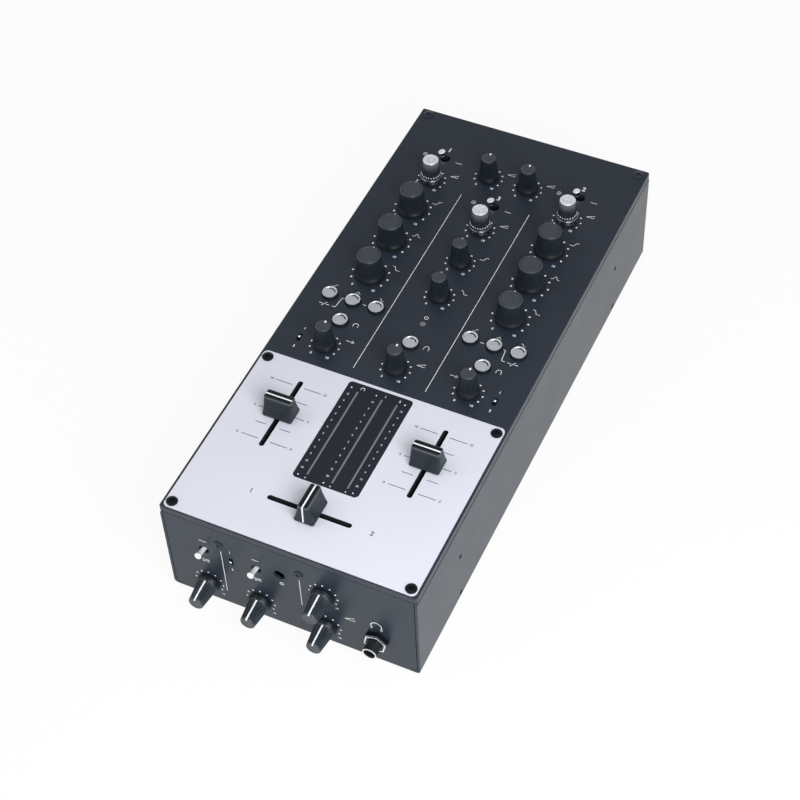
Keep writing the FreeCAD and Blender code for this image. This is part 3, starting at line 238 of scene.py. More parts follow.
def capped(rings):  # a skin of equal rings with both ends closed at a point in their middle
    ends = [np.repeat(rings[k].mean(0)[None, None], rings.shape[1], 1) for k in (0, -1)]
    return np.concatenate([ends[0], rings, ends[1]])


def loft(levels):  # rings of half length, half width, corner and height stacked into a closed skin
    return capped(np.stack([atHeight(roundRect(a, b, corner), z) for a, b, corner, z in levels]))


def normals(path):  # unit vectors square to a flat path
    along = np.gradient(path, axis=0)
    return np.column_stack([-along[:, 1], along[:, 0]]) / np.linalg.norm(along, axis=1)[:, None]


def ribbon(path, width, proud):  # four corners carried along a path in the yz plane
    path = np.array(path, float)
    out = normals(path)
    return capped(np.stack([np.column_stack([np.full(len(path), s * width / 2), path + lift * out])
                            for s, lift in ((-1, -proud), (1, -proud), (1, proud), (-1, proud))], axis=1))


def track(path, width, low, high):  # four corners carried along a path on the face, from low to high
    path = np.array(path, float)
    side = normals(path) * width / 2
    return capped(np.stack([atHeight(path + s * side, z)
                            for s, z in ((-1, low), (1, low), (1, high), (-1, high))], axis=1))


def arc(radius, start, end, steps=16):  # points of a circle between two angles in degrees
    turn = np.radians(np.linspace(start, end, steps))
    return np.column_stack([radius * np.cos(turn), radius * np.sin(turn)])


glyphs = {}
glyphSizes = {"steps": 3, "bolder": 0.018}


def digits(shape, text, size, x, y, thick, slot=0):  # plain numerals as a thin mesh about x and y
    if text not in glyphs:
        curve = bpy.data.curves.new("digits", "FONT")
        curve.body, curve.size, curve.extrude = text, 1.0, 0.5
        curve.align_x, curve.align_y = "CENTER", "CENTER"
        curve.resolution_u, curve.offset = glyphSizes["steps"], glyphSizes["bolder"]
        holder = bpy.data.objects.new("digits", curve)
        mesh = bpy.data.meshes.new_from_object(holder)
        co = np.empty(len(mesh.vertices) * 3)
        mesh.vertices.foreach_get("co", co)
        glyphs[text] = (co.reshape(-1, 3), [list(p.vertices) for p in mesh.polygons])
        bpy.data.objects.remove(holder)
        bpy.data.curves.remove(curve)
        bpy.data.meshes.remove(mesh)
    co, faces = glyphs[text]
    return shape.polys(co * (size, size, 2 * thick) + (x, y, 0), faces, slot)


meshSizes = {"weld": 1e-6, "crease": 32}  # metres and degrees


# a shape in millimetres becomes a welded mesh that rides on a body and may stand for nodes
def piece(name, shape, finishes, body, turn=onTop, at=(0, 0, 0), stands=()):
    points = np.concatenate(shape.points) @ np.asarray(turn, float).T + np.asarray(at, float)
    mesh = bpy.data.meshes.new(name)
    mesh.from_pydata((points * mm).tolist(), [], shape.faces)
    mesh.polygons.foreach_set("material_index", shape.slots)
    work = bmesh.new()
    work.from_mesh(mesh)
    bmesh.ops.remove_doubles(work, verts=work.verts, dist=meshSizes["weld"])
    bmesh.ops.recalc_face_normals(work, faces=work.faces)
    work.to_mesh(mesh)
    work.free()
    mesh.polygons.foreach_set("use_smooth", [True] * len(mesh.polygons))
    mesh.set_sharp_from_angle(angle=math.radians(meshSizes["crease"]))
    for finish in finishes:
        mesh.materials.append(finish.mat)
    obj = bpy.data.objects.new(name, mesh)
    bpy.context.scene.collection.objects.link(obj)
    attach(obj, body)
    if stands:
        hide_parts(*stands)


def dress(node, finish):  # a node that keeps its solid gets a finish
    mesh = nodes[node].data
    mesh.materials.clear()
    mesh.materials.append(finish.mat)


# finishes, with their sizes in millimetres
coatLook = {"cloud": 38, "lighter": 1.22, "cloudRough": 0.10, "grainRough": 0.08, "strength": 0.7,
            "wear": 3.0, "wearEase": (0.60, 0.72), "edge": (0.9, 0.1), "drop": (2.6, 0.4),
            "rubbed": 0.3, "bare": 0.14}


def coatFinish(name, tone, rough, gloss, grain, depth):  # satin paint, rubbed at the case's top edges
    look = coatLook
    f = Finish(name, Specular_IOR_Level=gloss)
    cloud = f.noise(look["cloud"], detail=2)
    fine = f.noise(grain, detail=2, rough=0.6)
    wear = f.noise(look["wear"], detail=4).ease(*look["wearEase"])
    band, lip = look["edge"]
    sides = abs(f.axis("X")).ease(halfX - band, halfX - lip)
    ends = abs(f.axis("Y")).ease(rearY - band, rearY - lip)
    rub = sides.max(ends) * abs(f.axis("Z") - topZ).ease(*look["drop"]) * wear
    base = f.mix(cloud, tone, shade(tone, look["lighter"]))
    f.set(Base_Color=f.mix(rub * look["rubbed"], base, grey(look["bare"])),
          Roughness=rough + cloud.swing(look["cloudRough"]) + fine.swing(look["grainRough"]))
    return f.bump(fine, depth, look["strength"])


mouldedLook = {"grain": 0.22, "cloud": 6.0, "lighter": 1.3, "lift": 0.002, "cloudRough": 0.16,
               "dustEase": (0.5, 0.8), "dustTone": 0.3, "depth": 0.03, "strength": 0.5}


def mouldedFinish(name, tone, rough, gloss=0.5, dust=0.0):  # moulded plastic with a fine spark grain
    look = mouldedLook
    f = Finish(name, Specular_IOR_Level=gloss)
    grain = f.noise(look["grain"], detail=2, rough=0.6)
    cloud = f.noise(look["cloud"], detail=3)
    base = f.mix(cloud, tone, shade(tone, look["lighter"], look["lift"]))
    f.set(Base_Color=f.mix(grain.ease(*look["dustEase"]) * dust, base, grey(look["dustTone"])),
          Roughness=rough + cloud.swing(look["cloudRough"]))
    return f.bump(grain, look["depth"], look["strength"])


metalLook = {"drawn": 0.5, "haze": 7.0, "darker": 0.84, "hazeRough": 0.10, "depth": 0.008, "strength": 0.6}


def metalFinish(name, tone, rough, stretch=(1, 1, 1), scratch=0.125, metal=1.0):  # finely drawn metal
    look = metalLook
    f = Finish(name, Metallic=metal)
    drawn = f.noise(look["drawn"], detail=4, rough=0.65, stretch=stretch)
    haze = f.noise(look["haze"], detail=3)
    f.set(Base_Color=f.mix(haze, tone, shade(tone, look["darker"])),
          Roughness=rough + drawn.swing(scratch) + haze.swing(look["hazeRough"]))
    return f.bump(drawn, look["depth"], look["strength"])


inkLook = {"patch": 0.35, "ease": (0.62, 0.85), "starved": 0.4, "darker": 0.6, "rough": 0.48,
           "patchRough": 0.2, "depth": 0.01, "strength": 0.4}


def inkFinish(name, tone):  # printed ink with slightly starved patches
    look = inkLook
    f = Finish(name)
    patch = f.noise(look["patch"], detail=3)
    f.set(Base_Color=f.mix(patch.ease(*look["ease"]) * look["starved"], tone, shade(tone, look["darker"])),
          Roughness=look["rough"] + patch.swing(look["patchRough"]))
    return f.bump(patch, look["depth"], look["strength"])


def blotchFinish(name, tones, noise, rough, uneven, bump, ease=None, **fixed):  # two tones in blotches
    f = Finish(name, **fixed)
    blotch = f.noise(**noise)
    f.set(Base_Color=f.mix(blotch.ease(*ease) if ease else blotch, *tones),
          Roughness=rough + blotch.swing(uneven))
    return f.bump(blotch, **bump)


plateLook = {"tones": ((0.69, 0.70, 0.80, 1), (0.75, 0.76, 0.85, 1)), "cutEdge": 0.012, "edge": (0.3, 0.1),
             "metal": 0.1, "rough": 0.40, "grainRough": 0.08, "grain": 0.6, "stretch": (0.05, 1, 1),
             "cloud": 55, "gloss": 0.45, "depth": 0.006, "strength": 0.5}


def plateFinish():  # pale satin sheet with a soft drawn grain across, blackened on its cut edges
    look = plateLook
    f = Finish("plateSilver", Specular_IOR_Level=look["gloss"])
    drawn = f.noise(look["grain"], detail=4, rough=0.6, stretch=look["stretch"])
    cloud = f.noise(look["cloud"], detail=2)
    below, above = look["edge"]
    face = f.axis("Z").ease(topZ - below, topZ - above)
    f.set(Base_Color=f.mix(face, grey(look["cutEdge"]), f.mix(cloud, *look["tones"])),
          Metallic=face * look["metal"], Roughness=look["rough"] + drawn.swing(look["grainRough"]))
    return f.bump(drawn, look["depth"], look["strength"])


gainLook = {"tones": ((0.016, 0.020, 0.028, 1), (0.13, 0.14, 0.165, 1)), "fade": (9.5, 16.6), "ragged": 3.0,
            "speck": 0.35, "gloss": 0.4, "rough": 0.38, "speckRough": 0.2, "depth": 0.03, "strength": 0.5}


def gainShadedFinish():  # silver up top, darkening down the knob's side: painted shade for the dark panel that the side reflects
    look = gainLook
    f = Finish("gainShadedPaint", Specular_IOR_Level=look["gloss"])
    speck = f.noise(look["speck"], detail=3, rough=0.6)
    height = f.axis("Z") - topZ + speck.swing(look["ragged"])
    f.set(Base_Color=f.mix(height.ease(*look["fade"]), *look["tones"]),
          Roughness=look["rough"] + speck.swing(look["speckRough"]))
    return f.bump(speck, look["depth"], look["strength"])


boardLook = {"tones": ((0.010, 0.075, 0.035, 1), (0.02, 0.12, 0.05, 1)), "run": 4.0, "ease": (0.2, 0.5),
             "gloss": 0.5, "rough": 0.35, "runRough": 0.1, "depth": 0.02, "strength": 0.4}


def boardFinish():  # solder mask with copper runs
    look = boardLook
    f = Finish("boardMask", Specular_IOR_Level=look["gloss"])
    runs = f.cells(look["run"])
    f.set(Base_Color=f.mix(runs.ease(*look["ease"]), *look["tones"]),
          Roughness=look["rough"] + look["runRough"] * runs)
    return f.bump(runs, look["depth"], look["strength"])


caseCoat = coatFinish("caseCoat", (0.017, 0.026, 0.0385, 1), rough=0.34, gloss=0.30, grain=0.45, depth=0.03)
topCoat = coatFinish("topCoat", (0.0155, 0.022, 0.0345, 1), rough=0.40, gloss=0.46, grain=0.30, depth=0.02)
darkPlastic = mouldedFinish("darkPlastic", (0.0055, 0.0105, 0.0155, 1), rough=0.42, gloss=0.32, dust=0.05)
# darker than the knob plastic: painted shade on the knob skirts; the fader caps' ridge uses it too
skirtPlastic = mouldedFinish("skirtPlastic", (0.003, 0.005, 0.008, 1), rough=0.42, gloss=0.22, dust=0.03)
# lighter than the knob plastic: painted light on the knob crowns, which face the overhead light
crownLitPlastic = mouldedFinish("crownLitPlastic", (0.033, 0.041, 0.051, 1), rough=0.45, gloss=0.42, dust=0.08)
# lighter than the top knobs' plastic, for the same kind of knob: painted light from above on the front
# knobs' sides
frontLitPlastic = mouldedFinish("frontLitPlastic", (0.015, 0.023, 0.032, 1), rough=0.36, gloss=0.45, dust=0.06)
# lighter than the front knob plastic: painted light on the front knobs' crowns
frontLitCrown = mouldedFinish("frontLitCrown", (0.038, 0.047, 0.056, 1), rough=0.42, gloss=0.45, dust=0.08)
capPlastic = mouldedFinish("capPlastic", (0.0070, 0.0130, 0.0175, 1), rough=0.38, gloss=0.30, dust=0.05)
# lighter plastic for the caps' brow: a painted highlight along the ridge's edges
capEdgeHighlight = mouldedFinish("capEdgeHighlight", (0.045, 0.054, 0.064, 1), rough=0.34, gloss=0.50, dust=0.05)
blackPlastic = mouldedFinish("blackPlastic", (0.005, 0.007, 0.010, 1), rough=0.45, gloss=0.35, dust=0.04)
glossPlastic = mouldedFinish("glossPlastic", (0.010, 0.010, 0.012, 1), rough=0.20)
whitePlastic = mouldedFinish("whitePlastic", (0.82, 0.83, 0.85, 1), rough=0.40)
redPlastic = mouldedFinish("redPlastic", (0.42, 0.02, 0.02, 1), rough=0.38)
chrome = metalFinish("chrome", (0.80, 0.81, 0.83, 1), rough=0.14)
nickel = metalFinish("nickel", (0.88, 0.89, 0.91, 1), rough=0.26, metal=0.40)
# whiter and less metallic than chrome: painted sheen on the toggle levers
leverSheen = metalFinish("leverSheen", (0.93, 0.94, 0.96, 1), rough=0.22, metal=0.25)
steel = metalFinish("steel", (0.52, 0.53, 0.55, 1), rough=0.32, stretch=(1, 6, 1))
blackSteel = metalFinish("blackSteel", (0.005, 0.008, 0.014, 1), rough=0.34, metal=0.55)
# darker grey than the silver crown: painted shade for the dark panel that the gain knobs' skirts reflect
gainSkirt = metalFinish("gainSkirt", (0.22, 0.23, 0.26, 1), rough=0.26)
buttonLacquer = metalFinish("buttonLacquer", (0.62, 0.64, 0.69, 1), rough=0.38, scratch=0.3, metal=0.5)
tinPlate = metalFinish("tinPlate", (0.62, 0.61, 0.58, 1), rough=0.28)
whiteInk = inkFinish("whiteInk", (0.87, 0.88, 0.90, 1))
greyInk = inkFinish("greyInk", (0.055, 0.058, 0.085, 1))
meterGrey = inkFinish("meterGrey", (0.16, 0.165, 0.18, 1))
scaleInk = inkFinish("scaleInk", (0.62, 0.63, 0.66, 1))
darkInk = inkFinish("darkInk", (0.05, 0.055, 0.07, 1))
# bright paint over a coarse moulded grain
gainCrown = blotchFinish("gainCrown", ((0.58, 0.60, 0.66, 1), (0.88, 0.90, 0.95, 1)),
                         noise={"size": 0.7, "detail": 2, "rough": 0.6}, rough=0.40, uneven=0.2,
                         bump={"depth": 0.08, "strength": 0.6}, ease=(0.38, 0.62), Metallic=0.3)
# a smoked window with faint wipe marks
smoked = blotchFinish("smokedWindow", ((0.008, 0.009, 0.017, 1), (0.012, 0.013, 0.025, 1)),
                      noise={"size": 9, "detail": 4, "rough": 0.6, "stretch": (0.4, 1, 1)}, rough=0.174,
                      uneven=0.14, bump={"depth": 0.004, "strength": 0.3}, Specular_IOR_Level=0.5)
footRubber = blotchFinish("footRubber", ((0.012, 0.012, 0.013, 1), (0.03, 0.03, 0.031, 1)),
                          noise={"size": 0.3}, rough=0.75, uneven=0.2,
                          bump={"depth": 0.05, "strength": 0.6}, Specular_IOR_Level=0.3)
plateSilver = plateFinish()
gainShadedPaint = gainShadedFinish()
boardMask = boardFinish()
print("finishes made")

# solids that keep their own shape
keptSolids = {
    "base_chassis": caseCoat, "front_panel": caseCoat, "rear_panel": caseCoat, "top_panel": topCoat,
    "fader_plate": plateSilver, "meter_window": smoked, "meter_lights": meterGrey,
    "rubber_feet": footRubber, "circuit_boards": boardMask, "power_transformer": steel,
    "rear_sockets": tinPlate,
}
blackSolids = ("potentiometers", "fader_units", "push_switches", "lever_switches", "mains_inlet",
               "power_rocker", "headphone_jack")
keptSolids.update({node: blackPlastic for node in blackSolids})
for node, finish in keptSolids.items():
    dress(node, finish)

# knobs: pairs are inset and rise for the foot and the rim, inset and drop for the ledge and the crowns,
# and reach out from the body and drop below the skirt's top for the slope and the root
knobSizes = {
    "gap": 1.0, "height": 15.8, "lineWidth": 0.9, "lineProud": 0.09, "linePlaces": (0.04, 0.3, 0.6, 0.93),
    "foot": ((1.2, 0.6), (0.6, 0.0), (0.15, 0.1), (0.0, 0.35)), "rim": (0.05, 0.8), "slope": (0.45, 0.5),
    "root": (0.12, 0.1), "neck": 0.25, "shoulder": 1.15, "sideSteps": 9, "perRib": 4,
    "ribFade": {"above": 0.3, "over": 1.2, "below": 1.3, "under": 0.8},
    "ledge": ((0.05, 1.30), (0.16, 1.02), (0.36, 0.84), (0.62, 0.76), (0.78, 0.50)),
    "bead": {"radius": 0.44, "inset": 0.25, "rise": 0.85, "rings": 6, "sides": 10},
    "dished": ((0.18, 0.42), (0.5, 0.14), (0.95, 0.0), (1.25, 0.06), (1.5, 0.2), (1.9, 0.22)),
    "grooved": ((0.18, 0.42), (0.42, 0.12), (0.80, 0.0), (0.98, 0.30), (1.40, 0.32), (1.58, 0.02),
                (1.95, 0.03)),
    "hollow": ((0.4, 0.04), (0.0, 0.06)),  # share of the top's radius, and drop
    "spindle": {"radius": 3.0, "low": -3.2, "high": 0.7, "sides": 24},
}
knobStyles = {
    "tone": {"skirt": 9.1, "skirtHeight": 2.4, "body": 8.0, "top": 7.0, "ribs": 40, "dent": 0.035,
             "crown": "grooved", "lineSteps": 3},
    "small": {"skirt": 6.7, "skirtHeight": 2.4, "body": 5.8, "top": 4.4, "ribs": 22, "dent": 0.10,
              "crown": "dished", "lineSteps": 6},
    "gain": {"skirt": 6.7, "skirtHeight": 4.2, "body": 5.8, "top": 4.8, "ribs": 22, "dent": 0.08,
             "crown": "dished", "lineSteps": 3},
}
knobStyles["plain"] = {**knobStyles["small"], "lineSteps": 3}


def knobShape(style):  # a turned skirt, side and crown, with a pointer line laid on them
    k, s = knobSizes, knobStyles[style]
    low, high = k["gap"], k["gap"] + k["height"] - k["lineProud"]
    start = low + s["skirtHeight"]

    def ribs(turn, height):  # shallow scallops, a squared cosine, that fade out at the skirt and the crown
        fade = k["ribFade"]
        rising = np.clip((height - start - fade["above"]) / fade["over"], 0, 1)
        falling = np.clip((high - fade["below"] - height) / fade["under"], 0, 1)
        return 1 - s["dent"] * rising * falling * (0.5 + 0.5 * np.cos(s["ribs"] * turn)) ** 2

    def side(t):  # the straight taper, from 0 at the skirt to 1 at the crown
        return (s["body"] + (s["top"] - s["body"]) * t,
                start + k["neck"] + (high - k["shoulder"] - start) * t)

    foot = [(0, low + k["foot"][0][1])] + [(s["skirt"] - inset, low + rise) for inset, rise in k["foot"]]
    if style == "gain":  # a rounded ledge that catches the light
        foot += [(s["skirt"] - inset, start - drop) for inset, drop in k["ledge"]]
    else:
        foot.append((s["skirt"] - k["rim"][0], low + k["rim"][1]))
        foot.append((s["body"] + k["slope"][0], start - k["slope"][1]))
    foot.append((s["body"] + k["root"][0], start - k["root"][1]))
    body = [side(t) for t in np.linspace(0, 1, k["sideSteps"])]
    crown = [(s["top"] - inset, high - drop) for inset, drop in k[s["crown"]]]
    middle = [(s["top"] * share, crown[-1][1] - drop) for share, drop in k["hollow"]]
    skin = lathe(foot + body + crown + middle, s["ribs"] * k["perRib"], ribs)
    a, b = len(foot) - 1, len(foot) + len(body)
    shape = Shape().grid(skin[:a + 1], 3).grid(skin[a:b + 1]).grid(skin[b:], 4)
    if style == "gain":  # the scallops end in beads painted bright: painted glints where the scallop ends catch the light
        bead = k["bead"]
        half = np.linspace(0, math.pi, bead["rings"])
        ball = lathe(np.column_stack([np.sin(half), -np.cos(half)]) * bead["radius"], bead["sides"])
        out, up = s["body"] - bead["inset"], start + bead["rise"]
        for t in angles(s["ribs"]):
            shape.grid(ball + (out * math.cos(t), out * math.sin(t), up), 4)
    r, bottom, tip = k["spindle"]["radius"], k["spindle"]["low"], low + k["spindle"]["high"]
    shape.grid(lathe([(0, bottom), (r, bottom), (r, tip), (0, tip)], k["spindle"]["sides"]), 1)
    line = [side(t) for t in k["linePlaces"]] + crown[:s["lineSteps"]]
    return shape.grid(ribbon(line, k["lineWidth"], k["lineProud"]), 2)


topKnobs = [n for n in nodes if n.startswith("knob_") and joints[n]["axis"][2] > 0.5]
frontKnobs = [n for n in nodes if n.startswith("knob_") and n not in topKnobs]
toneKnobs = [n for n in topKnobs if n[:-1] in ("knob_high_", "knob_mid_", "knob_low_") and n[-1] != "3"]
plainKnobs = ("knob_high_3", "knob_low_3")
# finishes by slot: body, spindle, pointer, skirt and crown; the skirts are darker as painted shade, the
# crowns lighter as painted light, and the gain knobs' sides darken downwards as painted shade
darkFinish = [darkPlastic, steel, whiteInk, skirtPlastic, crownLitPlastic]
frontFinish = [frontLitPlastic, steel, whiteInk, skirtPlastic, frontLitCrown]
brightFinish = [gainShadedPaint, steel, darkInk, gainSkirt, gainCrown]


def knobStyle(node):
    if node in toneKnobs:
        return "tone"
    if "gain" in node:
        return "gain"
    return "plain" if node in plainKnobs else "small"


for node in topKnobs:
    x, y, _ = centreOf(node)
    style = knobStyle(node)
    bright = style == "gain"
    piece(node + "_moulding", knobShape(style), brightFinish if bright else darkFinish, node,
          onTop, (x, y, topZ), [node])
for node in frontKnobs:
    x, _, z = centreOf(node)
    piece(node + "_moulding", knobShape("plain"), frontFinish, node,
          onFront, (x, frontY, z), [node])
print("knobs:", len(topKnobs) + len(frontKnobs))

# fader caps
capSizes = {
    "gap": 0.7, "height": 13.8, "halfLong": 8.9, "halfWide": 5.9, "ridge": 2.9, "hollow": 1.35,
    "corner": 1.4, "lineWidth": 0.85, "lineProud": 0.07,
    "tongue": (2.0, 0.6, 0.2), "tongueEnds": (-7.5, 6.0),  # half sizes and corner, low and high
    "foot": ((0.35, 0.8, 0.0), (0.0, 1.2, 0.35), (0.0, 1.3, 1.3)),  # inset, corner, rise
    "brow": ((-0.2, 0.55, 1.2, 0.45), (0.0, 0.75, 1.1, 0.12), (0.4, 1.1, 0.8, 0.0)),  # insets, corner, drop
    "sideSteps": 9, "sideLow": 1.7, "sideHigh": 2.7, "brim": 0.35, "flank": 0.6,
    "endInset": 0.1, "endTaper": 0.45,
}


def capShape():  # rounded rectangles stacked up to the ridge in a hollow curve, with the travel along x
    c = capSizes
    halfWide, halfLong, ridge, bottom, top = c["halfWide"], c["halfLong"], c["ridge"], c["gap"], c["height"]
    t = np.linspace(0, 1, c["sideSteps"])
    rise = bottom + c["sideLow"] + (top - c["sideHigh"] - bottom) * t
    wide = ridge + c["brim"] + (halfWide - c["flank"] - ridge) * (1 - t) ** c["hollow"]
    long = halfLong - c["endInset"] - c["endTaper"] * t
    levels = [(halfWide - inset, halfLong - inset, corner, bottom + up) for inset, corner, up in c["foot"]]
    levels += [(w, a, c["corner"], z) for w, a, z in zip(wide, long, rise)]
    levels += [(ridge - inset, halfLong - end, corner, top - drop)
               for inset, end, corner, drop in c["brow"]]
    skin = loft(levels)
    shape = Shape().grid(skin[:-4]).grid(skin[-5:-1], 3).grid(skin[-2:], 4)  # side, brow and ridge; the brow gets a lighter plastic as a painted highlight along the ridge's edges
    shape.grid(loft([(*c["tongue"], z) for z in c["tongueEnds"]]), 1)
    line = [(-level[1], level[3]) for level in levels[2:]] + [(levels[-1][1], top)]
    return shape.grid(ribbon(line, c["lineWidth"], c["lineProud"]), 2)


capFinish = [capPlastic, steel, whiteInk, capEdgeHighlight, skirtPlastic]
for node in ("fader_cap_1", "fader_cap_2", "fader_cap_cross"):
    x, y, _ = centreOf(node)
    turn = onTop if node == "fader_cap_cross" else acrossTop
    piece(node + "_moulding", capShape(), capFinish, node, turn, (x, y, topZ), [node])
print("fader caps made")

# push buttons
buttonSizes = {
    "radius": 4.6, "height": 2.2, "dish": 3.7, "stem": 1.5, "skirt": -4.5, "foot": -13.0, "chamfer": 0.2,
    "side": ((0.0, 0.55), (0.06, 0.25), (0.22, 0.06)),  # inset, drop
    "lip": ((0.4, 0.0), (0.58, 0.07), (0.75, 0.28)),  # inset, drop
    "face": ((1.0, 0.42), (0.6, 0.36), (0.3, 0.33), (0.0, 0.32)),  # share of the dish, drop
    "darkArc": {"radius": 2.9, "ends": (20, 120), "width": 0.7, "drops": (0.7, 0.3)}, "sides": 56,
}


def buttonShape():  # a turned cap, bright inside its rim, on a dark stem, with a dark arc sunk in the face
    b = buttonSizes
    r, h, skirt, cut, darkArc = b["radius"], b["height"], b["skirt"], b["chamfer"], b["darkArc"]
    side = [(0, b["foot"]), (b["stem"], b["foot"]), (b["stem"], skirt), (r - cut, skirt), (r, skirt + cut)]
    side += [(r - inset, h - drop) for inset, drop in b["side"]]
    face = [(r - inset, h - drop) for inset, drop in b["lip"]]
    face += [(b["dish"] * share, h - drop) for share, drop in b["face"]]
    deep, shallow = darkArc["drops"]
    inset = track(arc(darkArc["radius"], *darkArc["ends"]), darkArc["width"], h - deep, h - shallow)
    shape = Shape().grid(lathe(side, b["sides"]), 2).grid(lathe(side[-1:] + face, b["sides"]))
    return shape.grid(inset, 1)


buttons = [n for n in nodes if n.startswith("button_")]
for node in buttons:
    x, y, _ = centreOf(node)
    piece(node + "_cap", buttonShape(), [buttonLacquer, glossPlastic, darkPlastic], node,
          onTop, (x, y, topZ), [node])
print("buttons:", len(buttons))

# toggles
toggleSizes = {"lean": 13.0, "ball": 2.2, "ballTurn": 2.4, "root": 1.35, "neck": 2.4, "flare": 3.0,
               "curve": 1.4, "top": (11.0, 2.2), "front": (9.9, 2.0), "soft": 0.4, "dimple": 0.2,
               "dimpleWide": 0.5, "dimpleFloor": 1.3, "shift": 0.4,
               "ballSteps": 9, "flareSteps": 7, "edgeSteps": 6, "sides": 36}


def toggleShape(length, tip):  # a lever on a ball, flared to a soft edge and a dimple, turned about z
    t = toggleSizes
    ball = [(t["ball"] * math.sin(a), -t["ball"] * math.cos(a))
            for a in np.linspace(0, t["ballTurn"], t["ballSteps"])]
    swell = [(t["root"] + (tip - t["root"]) * s ** t["curve"],
              length - t["flare"] + (t["flare"] - t["soft"]) * s)
             for s in np.linspace(0, 1, t["flareSteps"])]
    edge = [(tip - t["soft"] * (1 - math.cos(a)), length - t["soft"] * (1 - math.sin(a)))
            for a in np.linspace(0, math.pi / 2, t["edgeSteps"])[1:]]
    face = [(tip * t["dimpleWide"], length - t["dimple"]), (0, length - t["dimple"] * t["dimpleFloor"])]
    shape = Shape().grid(lathe(ball + [(t["root"], t["neck"])] + swell, t["sides"]))
    return shape.grid(lathe(swell[-1:] + edge + face, t["sides"]), 1)


lean = math.radians(toggleSizes["lean"])
# each lever is one metal piece; the whiter finish on the front shafts and the top tips is painted sheen
for node in [n for n in nodes if n.startswith("toggle_")]:
    if abs(joints[node]["axis"][0]) > 0.5:  # on the front, swinging up and down
        style, finish, turn = "front", [leverSheen, nickel], onFront @ aboutX(-lean)
    else:
        style, finish, turn = "top", [chrome, leverSheen], onTop @ aboutY(-lean)
    piece(node + "_lever", toggleShape(*toggleSizes[style]), finish, node, turn, pivotOf(node),
          [node])
print("toggles made")

# slides: each level is an inset and a drop in shares of the soft edge, and a share of the corner
slideSizes = {"corner": 0.25, "soft": 0.2, "levels": ((0.0, 1.0, 1.0), (0.4, 0.3, 1.0), (1.0, 0.0, 0.6))}


def slideShape(a, b, tall):  # rounded rectangles stacked into a stud with a softened tip
    corner, soft = slideSizes["corner"], slideSizes["soft"]
    levels = [(a, b, corner, 0)]
    levels += [(a - soft * inset, b - soft * inset, corner * share, tall - soft * drop)
               for inset, drop, share in slideSizes["levels"]]
    skin = loft(levels)
    return Shape().grid(skin[:3], 1).grid(skin[2:])


for node in [n for n in nodes if n.startswith("slide_")]:
    low, high = boxOf(node)
    x, y, z = (low + high) / 2
    a, b, c = (high - low) / 2
    if node == "slide_front":
        shape, turn, at = slideShape(a, c, 2 * b), onFront, (x, high[1], z)
    else:
        shape, turn, at = slideShape(a, b, 2 * c), onTop, (x, y, low[2])
    piece(node + "_stud", shape, [whitePlastic, darkPlastic], node, turn, at, [node])
print("slides made")

# screws
screwSizes = {
    "large": {"head": 3.2, "height": 1.2, "edge": 0.5, "shank": 2.0, "length": 8.0,
              "arm": 0.42, "cross": 1.9, "sunk": 0.7},
    "small": {"head": 2.7, "height": 1.1, "edge": 0.5, "shank": 1.5, "length": 6.0,
              "arm": 0.35, "cross": 1.5, "sunk": 0.6},
    "front": ((-41.2, 57.0), (6.4, 57.0)), "floor": (44.0, 161.05),
    "dome": 2.2, "armSoft": 0.1, "crossSoft": 0.3, "domeSteps": 17, "sides": 64,
}


def screwShape(style, slot):  # a domed head with a cross pressed into it, on a shank, turned about z
    k, s = screwSizes, screwSizes[style]
    profile = [(0, -s["length"]), (s["shank"], -s["length"]), (s["shank"], 0), (s["head"], 0)]
    profile.append((s["head"], s["edge"]))
    profile += [(s["head"] * q, s["edge"] + (s["height"] - s["edge"]) * (1 - q ** k["dome"]))
                for q in np.linspace(1, 0, k["domeSteps"])[1:]]
    points = lathe(profile, k["sides"])
    x, y, z = np.moveaxis(points, -1, 0)
    arms = np.clip((s["arm"] - np.minimum(abs(x), abs(y))) / k["armSoft"], 0, 1)
    ends = np.clip((s["cross"] - np.hypot(x, y)) / k["crossSoft"], 0, 1)
    points[..., 2] = z - s["sunk"] * arms * ends * (z > s["edge"])
    return Shape().grid(points, slot)


def screwSet(node, spots):  # spots are style, finish, turn and place
    shape = Shape()
    for style, slot, turn, at in spots:
        shape.add(screwShape(style, slot).moved(turn, at))
    finish = [blackSteel, topCoat, caseCoat]
    piece(node + "_heads", shape, finish, "case", stands=[node])


low, high = boxOf("plate_screws")
head = screwSizes["large"]["head"]
screwX = high[0] - head
screwRows = (low[1] + head, high[1] - head)
rearRow = boxOf("case_screws")[1][1] - head
floorX, floorY = screwSizes["floor"]
screwSet("plate_screws", [("large", 0, onTop, (s * screwX, y, topZ)) for s in (-1, 1) for y in screwRows])
spots = [("large", 1, onTop, (s * screwX, rearRow, topZ)) for s in (-1, 1)]
spots += [("small", 2, onFront, (x, frontY, z)) for x, z in screwSizes["front"]]
spots += [("small", 0, onFloor, (s * floorX, e * floorY, floorZ)) for s in (-1, 1) for e in (-1, 1)]
screwSet("case_screws", spots)
print("screws made")

# headphone socket: a dark nut with a bright band round its front edge as a painted highlight, and a bright
# mouth ring, over the dark barrel
jackSizes = {"flats": 12.7, "nut": 3.4, "turn": 18.0, "bevel": 0.5, "glintBand": 0.7, "wallStep": 1.4,
             "barrel": 4.1, "overlap": 0.1, "bore": 3.18, "reach": 10.0, "skin": 0.04,
             "mouthDeep": 0.3, "mouthEdge": 0.15, "mouthLip": 0.25, "nutSides": 120, "mouthSides": 64}


